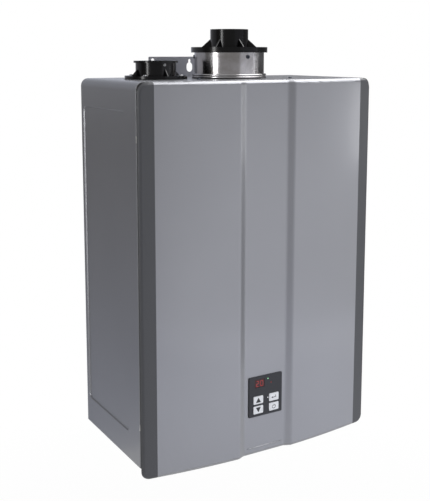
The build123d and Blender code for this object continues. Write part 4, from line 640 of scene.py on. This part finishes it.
def flat_bar(x, z, stroke):
    """A printed stroke with softened corners, lying on the front of the button about x and z."""
    across, up, wide, tall = stroke
    bpy.ops.mesh.primitive_cube_add(size=1.0)
    bar = bpy.context.object
    bar.scale = mm(wide, PRINT_T, tall)
    bpy.ops.object.transform_apply(location=False, rotation=False, scale=True)
    bpy.ops.object.mode_set(mode="EDIT")
    pick_edges(lambda a, b: abs(a.y - b.y) > 0.5 * PRINT_T * MM)
    bpy.ops.mesh.bevel(offset=0.2 * min(wide, tall) * MM, segments=2)
    bpy.ops.object.mode_set(mode="OBJECT")
    bar.location = mm(x + across, BUTTON_FRONT_Y - PRINT_T / 2, z + up)
    bpy.ops.object.transform_apply(location=True)
    return bar


def arrow_print(name, body, x, z, point):
    """An arrow printed on a button; point is 1 for up and -1 for down."""
    arrow = flat_triangle(ARROW_R, ARROW_ROUND, 3)
    arrow.rotation_euler = (math.radians(90), 0 if point > 0 else math.radians(180), 0)
    arrow.location = mm(x, BUTTON_FRONT_Y - PRINT_T / 2, z - ARROW_DROP * point)
    hang(arrow, name, body, PRINT)


def enter_print(x, z):
    """The return sign: a stroke down, a stroke to the left and an arrow head."""
    drop = flat_bar(x, z, ENTER_DROP)
    run = flat_bar(x, z, ENTER_RUN)
    head = flat_triangle(ENTER_HEAD_R, ENTER_HEAD_ROUND, 2)
    head.rotation_euler = (math.radians(90), math.radians(-90), 0)
    head.location = mm(x + ENTER_HEAD[0], BUTTON_FRONT_Y - PRINT_T / 2, z + ENTER_HEAD[1])
    bpy.ops.object.transform_apply(location=True, rotation=True)
    hang(join([drop, run, head]), "enter_print", "enter_button", PRINT)


def power_print(x, z):
    """The stand-by sign: a ring open at the top with a stroke in the gap."""
    bpy.ops.mesh.primitive_torus_add(major_radius=POWER_RING_R * MM, minor_radius=STROKE / 2 * MM,
                                     major_segments=48, minor_segments=8, rotation=(math.radians(90), 0, 0))
    arc = bpy.context.object
    bpy.ops.object.transform_apply(rotation=True)
    bpy.ops.object.mode_set(mode="EDIT")
    pick_faces(lambda middle, normal: middle.z > 0 and abs(middle.x) < POWER_GAP * middle.z)
    bpy.ops.mesh.delete(type="FACE")
    bpy.ops.mesh.select_all(action="SELECT")
    bpy.ops.mesh.fill_holes(sides=0)
    bpy.ops.object.mode_set(mode="OBJECT")
    arc.scale = (1.0, PRINT_T / STROKE, 1.0)
    arc.location = mm(x, BUTTON_FRONT_Y - PRINT_T / 2, z - POWER_RING_DROP)
    bpy.ops.object.transform_apply(location=True, scale=True)
    stroke = flat_bar(x, z, POWER_STROKE)
    hang(join([arc, stroke]), "power_print", "power_button", PRINT)


# Display digits and lamps

def digit_bar(x, z, lying, name, finish):
    """One bar of a seven-bar digit, pointed at both ends."""
    bpy.ops.mesh.primitive_cylinder_add(vertices=6, radius=BAR_R * MM, depth=BAR_T * MM)
    bar = bpy.context.object
    bpy.ops.object.mode_set(mode="EDIT")
    reach = LYING_BAR_REACH if lying else UPRIGHT_BAR_REACH
    for end in (1, -1):
        pick("VERT", lambda vertex: vertex.co.y * end > 0.1 * MM)
        bpy.ops.transform.translate(value=(0, end * reach * MM, 0))
    bpy.ops.object.mode_set(mode="OBJECT")
    bar.rotation_euler = (math.radians(90), math.radians(90) if lying else 0, 0)
    bar.location = mm(x, DISPLAY_FRONT_Y - BAR_T / 2, z)
    hang(bar, name, "cover", finish)


def show_digit(place, x, lit):
    """A seven-bar digit about x; lit names the bars that glow."""
    for bar, (across, up, lying) in DIGIT_BARS.items():
        finish = LIT_SEGMENT if bar in lit else DARK_SEGMENT
        digit_bar(x + across, DISPLAY_Z + up, lying, place + "_" + bar + "_bar", finish)


def lamp_dome(name, x, z, finish):
    """A small lens that stands out of the faceplate."""
    bpy.ops.mesh.primitive_uv_sphere_add(segments=24, ring_count=12, radius=LAMP_R * MM)
    lens = bpy.context.object
    bpy.ops.object.mode_set(mode="EDIT")
    bpy.ops.mesh.select_all(action="SELECT")
    bpy.ops.mesh.bisect(plane_co=(0, 0, 0), plane_no=(0, 1, 0), use_fill=True, clear_outer=True)
    bpy.ops.object.mode_set(mode="OBJECT")
    lens.scale = (1.0, LAMP_BULGE, 1.0)
    lens.location = mm(x, FACEPLATE_FRONT_Y, z)
    hang(lens, name, "cover", finish)
    for face in lens.data.polygons:
        face.use_smooth = abs(face.normal.y) < 0.999


# Screws

def domed_head(radius, height):
    """A round head that stands on z = 0 with its top rim rounded over; leaves it in edit mode."""
    bpy.ops.mesh.primitive_cylinder_add(vertices=32, radius=radius * MM, depth=height * MM,
                                        location=mm(0, 0, height / 2))
    head = bpy.context.object
    bpy.ops.object.transform_apply(location=True)
    bpy.ops.object.mode_set(mode="EDIT")
    pick_edges(lambda a, b: min(a.z, b.z) > 0.9 * height * MM)
    bpy.ops.mesh.bevel(offset=HEAD_ROUND * MM, segments=5)
    return head


def draw_shank(head_r, shank_r, length):
    """In edit mode, draws a shank down from the underside of a head."""
    pick_faces(lambda middle, normal: normal.z < -0.9)
    bpy.ops.mesh.inset(thickness=(head_r - shank_r) * MM)
    bpy.ops.mesh.extrude_region_move(TRANSFORM_OT_translate={"value": mm(0, 0, -length)})
    bpy.ops.object.mode_set(mode="OBJECT")


def pan_head_screw():
    """A pan-head screw that stands on z = 0: domed head with a cross recess, shank below."""
    screw = domed_head(VENT_HEAD_R, VENT_HEAD_H)
    draw_shank(VENT_HEAD_R, VENT_SHANK_R, VENT_SHANK_L)
    for turn in (0, 90):
        bpy.ops.mesh.primitive_cube_add(size=1.0, location=mm(0, 0, VENT_HEAD_H), scale=mm(*CROSS_RECESS),
                                        rotation=(0, 0, math.radians(turn)))
        cut_away(screw, bpy.context.object)
    bpy.ops.object.shade_smooth_by_angle(angle=math.radians(35))
    return screw


def on_round_wall(x, y, z, radius, angle):
    """The place of a screw that points out of an upright round wall."""
    turn = math.radians(angle)
    place = Vector(mm(x + radius * math.cos(turn), y + radius * math.sin(turn), z))
    outward = Matrix.Rotation(turn, 4, "Z") @ Matrix.Rotation(math.radians(90), 4, "Y")
    return Matrix.Translation(place) @ outward


def drive_screws():
    """Copies the screw to the vents, the top panel, the collar, the intake neck and the cover tabs."""
    master = pan_head_screw()
    for count, angle in enumerate(INTAKE_SCREW_ANGLES, 1):
        turn = math.radians(angle)
        place = Vector(mm(INTAKE_X + INTAKE_SCREW_REACH * math.cos(turn),
                          INTAKE_Y + INTAKE_SCREW_REACH * math.sin(turn), INTAKE_FLANGE_TOP_Z))
        screw = copy_to(master, Matrix.Translation(place) @ Matrix.Rotation(turn, 4, "Z"))
        hang(screw, "intake_screw_%d" % count, "case", ZINC)
        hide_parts("case_fasteners")
    for count, (x, y) in enumerate(TOP_SCREWS, 1):
        turn = Matrix.Rotation(TOP_SCREW_TURN * count, 4, "Z")
        screw = copy_to(master, Matrix.Translation(mm(x, y, TOP_Z)) @ turn)
        hang(screw, "top_screw_%d" % count, "case", DARK_SCREW)
    for count, angle in enumerate(COLLAR_SCREW_ANGLES, 1):
        screw = copy_to(master, on_round_wall(0, FLUE_Y, COLLAR_SCREW_Z, COLLAR_R, angle))
        hang(screw, "collar_screw_%d" % count, "case", DARK_SCREW)
    place = on_round_wall(INTAKE_X, INTAKE_Y, NECK_SCREW_Z, INTAKE_NECK_R, NECK_SCREW_ANGLE)
    screw = copy_to(master, place @ Matrix.Scale(NECK_SCREW_SIZE, 4))
    hang(screw, "neck_screw", "case", ZINC)
    for side, hand in (("left", -1), ("right", 1)):
        place = Matrix.Translation(mm(hand * COVER_SCREW_X, COVER_SCREW_Y, COVER_SCREW_SEAT_Z))
        big = Matrix.Rotation(math.radians(180), 4, "X") @ Matrix.Scale(COVER_SCREW_SIZE, 4)
        screw = copy_to(master, place @ big)
        hang(screw, side + "_cover_screw", "cover", ZINC)
        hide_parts("cover_screws")
    remove(master)


# Rivets, pins and clips of the case, and the bead of the cover

def blind_rivet():
    """A blind rivet that stands on z = 0: domed head with the hole of its mandrel, shank below."""
    rivet = domed_head(RIVET_HEAD_R, RIVET_HEAD_H)
    pick_faces(lambda middle, normal: normal.z > 0.99)
    bpy.ops.mesh.inset(thickness=MANDREL_INSET * MM)
    bpy.ops.mesh.extrude_region_move(TRANSFORM_OT_translate={"value": mm(0, 0, -MANDREL_DEPTH)})
    draw_shank(RIVET_HEAD_R, RIVET_R, RIVET_SHANK_L)
    bpy.ops.object.shade_smooth_by_angle(angle=math.radians(35))
    return rivet


def locating_pin():
    """A dowel that stands on z = 0, with a rounded lead at its end and a groove at its foot."""
    bpy.ops.mesh.primitive_cylinder_add(vertices=32, radius=PIN_R * MM, depth=PIN_L * MM,
                                        location=mm(0, 0, PIN_L / 2))
    pin = bpy.context.object
    bpy.ops.object.transform_apply(location=True)
    bpy.ops.object.mode_set(mode="EDIT")
    pick_edges(lambda a, b: min(a.z, b.z) > 0.9 * PIN_L * MM)
    bpy.ops.mesh.bevel(offset=PIN_LEAD * MM, segments=4)
    for height in PIN_GROOVE:
        bpy.ops.mesh.select_all(action="SELECT")
        bpy.ops.mesh.bisect(plane_co=mm(0, 0, height), plane_no=(0, 0, 1))
    pick_faces(lambda middle, normal: PIN_GROOVE[0] * MM < middle.z < PIN_GROOVE[1] * MM)
    bpy.ops.mesh.extrude_region_shrink_fatten(TRANSFORM_OT_shrink_fatten={"value": -PIN_GROOVE_DEPTH * MM})
    bpy.ops.object.mode_set(mode="OBJECT")
    bpy.ops.object.shade_smooth_by_angle(angle=math.radians(35))
    return pin


def set_rivets_and_pins():
    """Rivets of the two brackets, and the pins that the cover's top hangs on."""
    forward = Matrix.Rotation(math.radians(90), 4, "X")
    master = blind_rivet()
    for count, (x, z) in enumerate(RIVET_PLACES, 1):
        rivet = copy_to(master, Matrix.Translation(mm(x, RIVET_SEAT_Y, z)) @ forward)
        hang(rivet, "bracket_rivet_%d" % count, "case", ZINC)
        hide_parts("case_fasteners")
    remove(master)
    master = locating_pin()
    for side, x in PIN_PLACES.items():
        pin = copy_to(master, Matrix.Translation(mm(x, CASE_FRONT_Y, PIN_Z)) @ forward)
        hang(pin, side + "_locating_pin", "case", ZINC)
        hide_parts("case_fasteners")
    remove(master)


def seam_clip():
    """A folded spring clip that grips the edge of a side panel, about the middle of the edge."""
    bpy.ops.mesh.primitive_cube_add(size=1.0)
    clip = bpy.context.object
    clip.scale = mm(CLIP_W, CLIP_D, CLIP_H)
    bpy.ops.object.transform_apply(scale=True)
    bpy.ops.object.mode_set(mode="EDIT")
    pick_edges(lambda a, b: abs(a.z - b.z) > 0.5 * CLIP_H * MM)
    bpy.ops.mesh.bevel(offset=CLIP_FOLD * MM, segments=4)
    pick_edges(lambda a, b: abs(a.z - b.z) < 0.1 * MM and abs(a.z) > 0.45 * CLIP_H * MM)
    bpy.ops.mesh.bevel(offset=CLIP_EDGE * MM, segments=2)
    bpy.ops.object.mode_set(mode="OBJECT")
    bpy.ops.object.shade_smooth_by_angle(angle=math.radians(50))
    return clip


def set_seam_clips():
    """Four clips in the seam between the case and the cover."""
    master = seam_clip()
    for side, hand in (("left", -1), ("right", 1)):
        for level, z in CLIP_HEIGHTS.items():
            place = mm(hand * (SIDE_X - CLIP_INSET), CASE_FRONT_Y + CLIP_BACK, z)
            clip = copy_to(master, Matrix.Translation(place))
            hang(clip, level + "_" + side + "_clip", "case", STAINLESS)
    remove(master)


def crease_bead():
    """The thin rolled bead at the foot of the band."""
    bpy.ops.mesh.primitive_cylinder_add(vertices=16, radius=CREASE_R * MM, depth=CREASE_W * MM,
                                        rotation=(0, math.radians(90), 0))
    bead = bpy.context.object
    bpy.ops.object.transform_apply(rotation=True)
    bpy.ops.object.mode_set(mode="EDIT")
    pick_edges(lambda a, b: abs(a.x - b.x) < 0.1 * MM)
    bpy.ops.mesh.bevel(offset=CREASE_EDGE * MM, segments=2)
    bpy.ops.object.mode_set(mode="OBJECT")
    bpy.ops.object.shade_smooth_by_angle(angle=math.radians(50))
    bead.location = mm(0, BAND_FRONT_Y, CREASE_Z)
    hang(bead, "band_crease_bead", "cover", SILVER)


# Pipe fittings and the cable gland

def ease_rims(piece, edge):
    """Puts a bar's place into its mesh and bevels its top and bottom rims."""
    bpy.ops.object.transform_apply(location=True, rotation=True)
    bpy.ops.object.mode_set(mode="EDIT")
    pick_edges(lambda a, b: abs(a.z - b.z) < 0.01 * MM)
    bpy.ops.mesh.bevel(offset=edge * MM, segments=3)
    bpy.ops.object.mode_set(mode="OBJECT")
    return piece


def bore(piece, x, low, high, radius):
    """Bores an upright hole through a piece."""
    bpy.ops.mesh.primitive_cylinder_add(vertices=48, radius=radius * MM,
                                        depth=(high - low + BORE_OVERRUN) * MM,
                                        location=mm(x, FITTING_Y, (low + high) / 2))
    return cut_away(piece, bpy.context.object)


def bored_bar(x, low, high, radius, edge, bore_r):
    """An upright round bar at the depth of the fittings, rims eased, with a hole down its middle."""
    bpy.ops.mesh.primitive_cylinder_add(vertices=64, radius=radius * MM, depth=(high - low) * MM,
                                        location=mm(x, FITTING_Y, (low + high) / 2))
    return bore(ease_rims(bpy.context.object, edge), x, low, high, bore_r)


def bored_hex(x, low, high, radius, edge, bore_r):
    """An upright six-sided bar with a corner towards each side, rims eased, with a hole down its middle."""
    bpy.ops.mesh.primitive_cylinder_add(vertices=6, radius=radius * MM, depth=(high - low) * MM,
                                        location=mm(x, FITTING_Y, (low + high) / 2),
                                        rotation=(0, 0, math.radians(30)))
    return bore(ease_rims(bpy.context.object, edge), x, low, high, bore_r)


def pipe_thread(x, low):
    """A pipe thread: one triangular rib wound up the stub from its foot."""
    bpy.ops.mesh.primitive_circle_add(vertices=3, radius=1.0)
    rib = bpy.context.object
    root = FITTING_ROOT_R - THREAD_SINK
    profile = ((root, -THREAD_HALF), (THREAD_CREST_R, 0.0), (root, THREAD_HALF))
    for vertex, (reach, height) in zip(rib.data.vertices, profile):
        vertex.co = mm(reach, 0, height * THREAD_PITCH)
    winding = rib.modifiers.new("winding", "SCREW")
    winding.axis = "Z"
    winding.screw_offset = THREAD_PITCH * MM
    winding.iterations = THREAD_TURNS
    winding.steps = THREAD_STEPS
    winding.render_steps = THREAD_STEPS
    bpy.ops.object.modifier_apply(modifier=winding.name)
    bpy.ops.object.mode_set(mode="EDIT")
    bpy.ops.mesh.select_all(action="SELECT")
    bpy.ops.mesh.fill_holes(sides=3)
    bpy.ops.mesh.select_all(action="SELECT")
    bpy.ops.mesh.normals_make_consistent(inside=False)
    bpy.ops.object.mode_set(mode="OBJECT")
    rib.location = mm(x, FITTING_Y, low + THREAD_START * THREAD_PITCH)
    bpy.ops.object.transform_apply(location=True)
    return rib


def threaded_fitting(node, x):
    """A threaded stub through the floor: bored pipe, nut below, flange above."""
    seat = FLOOR_PLATE_Z + SHEET
    grip = FITTING_ROOT_R - FITTING_GRIP
    stub = bored_bar(x, FITTING_LOW_Z, FITTING_HIGH_Z, FITTING_ROOT_R, FITTING_EDGE, FITTING_BORE_R)
    nut = bored_hex(x, FLOOR_PLATE_Z - FITTING_NUT_T, FLOOR_PLATE_Z, FITTING_NUT_R, FITTING_NUT_EDGE, grip)
    flange = bored_bar(x, seat, seat + FITTING_FLANGE_T, FITTING_FLANGE_R, FITTING_EDGE, grip)
    thread = pipe_thread(x, FITTING_LOW_Z)
    piece = join([nut, flange, thread, stub])
    bpy.ops.object.shade_smooth_by_angle(angle=math.radians(30))
    hang(piece, node + "_threaded", "case", BRASS)
    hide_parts(node)


def dome_gland(x):
    """The cable gland: nut above the floor, six-sided head and domed cap below it, bored for the cable."""
    head_low = FLOOR_PLATE_Z - GLAND_HEAD_H
    dome_low = head_low - GLAND_DOME_H
    seat = FLOOR_PLATE_Z + SHEET
    head = bored_hex(x, head_low, FLOOR_PLATE_Z, GLAND_HEAD_R, GLAND_EDGE, GLAND_BORE_R)
    nut = bored_hex(x, seat, seat + GLAND_NUT_H, GLAND_NUT_R, GLAND_EDGE, GLAND_BORE_R)
    shank = bored_bar(x, FLOOR_PLATE_Z, seat, GLAND_SHANK_R, GLAND_SHANK_EDGE, GLAND_BORE_R)
    bpy.ops.mesh.primitive_cone_add(vertices=64, radius1=GLAND_SHANK_R * MM, radius2=GLAND_DOME_R * MM,
                                    depth=GLAND_DOME_H * MM,
                                    location=mm(x, FITTING_Y, head_low - GLAND_DOME_H / 2))
    cap = bpy.context.object
    bpy.ops.object.transform_apply(location=True)
    bpy.ops.object.mode_set(mode="EDIT")
    pick_edges(lambda a, b: max(a.z, b.z) < (dome_low + 0.1) * MM)
    bpy.ops.mesh.bevel(offset=GLAND_DOME_ROUND * MM, segments=5)
    bpy.ops.object.mode_set(mode="OBJECT")
    cap = bore(cap, x, dome_low, head_low, GLAND_BORE_R)
    gland = join([head, nut, shank, cap])
    bpy.ops.object.shade_smooth_by_angle(angle=math.radians(30))
    hang(gland, "cable_gland_domed", "case", BLACK)
    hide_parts("cable_gland")


# Studio: camera, floor, white surround, lights and grey flags

def set_camera():
    """The camera, level across and tilted a little down."""
    bpy.ops.object.camera_add(location=CAMERA_PLACE)
    camera = bpy.context.object
    camera.rotation_euler = (math.radians(90 + CAMERA_PITCH), 0, math.radians(-CAMERA_YAW))
    camera.data.lens = CAMERA_LENS
    camera.data.shift_y = CAMERA_SHIFT_Y
    bpy.context.scene.camera = camera


def white_to_view(tree):
    """One for rays that look, mirror or pass through; nought for rays that only light."""
    path = add_node(tree, "ShaderNodeLightPath").outputs
    seen = add_node(tree, "ShaderNodeMath", {0: path["Is Camera Ray"], 1: path["Is Glossy Ray"]},
                    operation="MAXIMUM")
    return add_node(tree, "ShaderNodeMath", {0: seen.outputs[0], 1: path["Is Transmission Ray"]},
                    operation="MAXIMUM").outputs[0]


def light_surround():
    """A white surround to look at, with less of it as light."""
    world = bpy.data.worlds.new("white_surround")
    bpy.context.scene.world = world
    world.use_nodes = True
    tree = world.node_tree
    strength = add_node(tree, "ShaderNodeMapRange", {"Value": white_to_view(tree), "To Min": AMBIENT,
                                                     "To Max": 1.0})
    tree.nodes["Background"].inputs["Color"].default_value = linear("#FFFFFF")
    tree.links.new(strength.outputs["Result"], tree.nodes["Background"].inputs["Strength"])


def lay_floor():
    """A pale paper floor that fades into the white surround and keeps a faint shadow."""
    bpy.ops.mesh.primitive_plane_add(size=FLOOR_SIZE, location=(0, 0, FLOOR_Z))
    floor = bpy.context.object
    floor.name = "studio_floor"
    bpy.ops.object.transform_apply(location=True)
    material, tree, shader, place = start_material("white_studio_paper")
    shader.inputs["Base Color"].default_value = linear("#F2F2F2")
    shader.inputs["Roughness"].default_value = 0.9
    shader.inputs["Specular IOR Level"].default_value = 0.0
    glow = add_node(tree, "ShaderNodeEmission", {"Color": linear("#FFFFFF"), "Strength": 1.0})
    level = add_node(tree, "ShaderNodeVectorMath", {0: place, 1: (1.0, 1.0, 0.0)}, operation="MULTIPLY")
    away = add_node(tree, "ShaderNodeVectorMath", {0: level.outputs[0]}, operation="LENGTH")
    share = add_node(tree, "ShaderNodeMapRange", {"Value": away.outputs["Value"], "From Min": FLOOR_FADE[0],
                                                  "From Max": FLOOR_FADE[1], "To Min": FLOOR_WHITE,
                                                  "To Max": 1.0})
    seen = add_node(tree, "ShaderNodeMath", {0: white_to_view(tree), 1: share.outputs["Result"]},
                    operation="MULTIPLY")
    mix = add_node(tree, "ShaderNodeMixShader", {0: seen.outputs[0], 1: shader.outputs["BSDF"],
                                                 2: glow.outputs["Emission"]})
    tree.links.new(mix.outputs["Shader"], tree.nodes["Material Output"].inputs["Surface"])
    floor.data.materials.append(material)


def soft_light(name, place, target, width, height, radiance, hex_colour):
    """A soft box of a given radiance, turned to a target."""
    bpy.ops.object.light_add(type="AREA", location=place)
    lamp = bpy.context.object
    lamp.name = name
    lamp.rotation_euler = (Vector(target) - Vector(place)).to_track_quat("-Z", "Y").to_euler()
    lamp.data.shape = "RECTANGLE"
    lamp.data.size = width
    lamp.data.size_y = height
    lamp.data.energy = radiance * math.pi * width * height
    lamp.data.color = linear(hex_colour)[:3]
    lamp.visible_camera = False
    return lamp


def grey_flag(name, left, right, greys):
    """An upright card on the floor, seen only in reflections."""
    bpy.ops.mesh.primitive_plane_add(size=1.0)
    flag = bpy.context.object
    flag.name = name
    corners = [(*left, FLOOR_Z), (*right, FLOOR_Z), (*right, FLAG_TOP), (*left, FLAG_TOP)]
    for vertex, corner in zip((0, 1, 3, 2), corners):
        flag.data.vertices[vertex].co = corner
    material, tree, _, place = start_material(name + "_card")
    height = add_node(tree, "ShaderNodeSeparateXYZ", {"Vector": place}).outputs["Z"]
    rise = add_node(tree, "ShaderNodeMapRange", {"Value": height, "From Min": FLOOR_Z, "From Max": FLAG_TOP})
    grey = ramp(tree, rise.outputs["Result"], greys, "LINEAR")
    glow = add_node(tree, "ShaderNodeEmission", {"Color": grey, "Strength": 1.0})
    tree.links.new(glow.outputs["Emission"], tree.nodes["Material Output"].inputs["Surface"])
    flag.data.materials.append(material)
    flag.visible_camera = False
    flag.visible_diffuse = False
    flag.visible_shadow = False


# Dressing the heater

arrow_print("up_print", "up_button", LEFT_BUTTONS_X, UPPER_BUTTONS_Z, 1)
arrow_print("down_print", "down_button", LEFT_BUTTONS_X, LOWER_BUTTONS_Z, -1)
enter_print(RIGHT_BUTTONS_X, UPPER_BUTTONS_Z)
power_print(RIGHT_BUTTONS_X, LOWER_BUTTONS_Z)
show_digit("tens", DISPLAY_X - DIGIT_OFFSET, LIT_TENS)
show_digit("units", DISPLAY_X + DIGIT_OFFSET, LIT_UNITS)
lamp_dome("ready_lamp", *LAMPS["ready_lamp"], GREEN_LIGHT)
lamp_dome("alert_lamp", *LAMPS["alert_lamp"], RED_LIGHT)
lamp_dome("entry_lamp", *LAMPS["entry_lamp"], WHITE_LIGHT)
drive_screws()
set_rivets_and_pins()
set_seam_clips()
crease_bead()
for fitting_node, fitting_x in FITTING_PLACES.items():
    threaded_fitting(fitting_node, fitting_x)
dome_gland(GLAND_X)

# Setting the studio

set_camera()
light_surround()
lay_floor()
for light_name, light in SOFT_LIGHTS.items():
    soft_light(light_name, *light)
for light_name, light in GLINT_LIGHTS.items():
    soft_light(light_name, *light).visible_diffuse = False
for flag_name, flag_values in GREY_FLAGS.items():
    grey_flag(flag_name, *flag_values)
bpy.context.scene.view_settings.view_transform = "Standard"
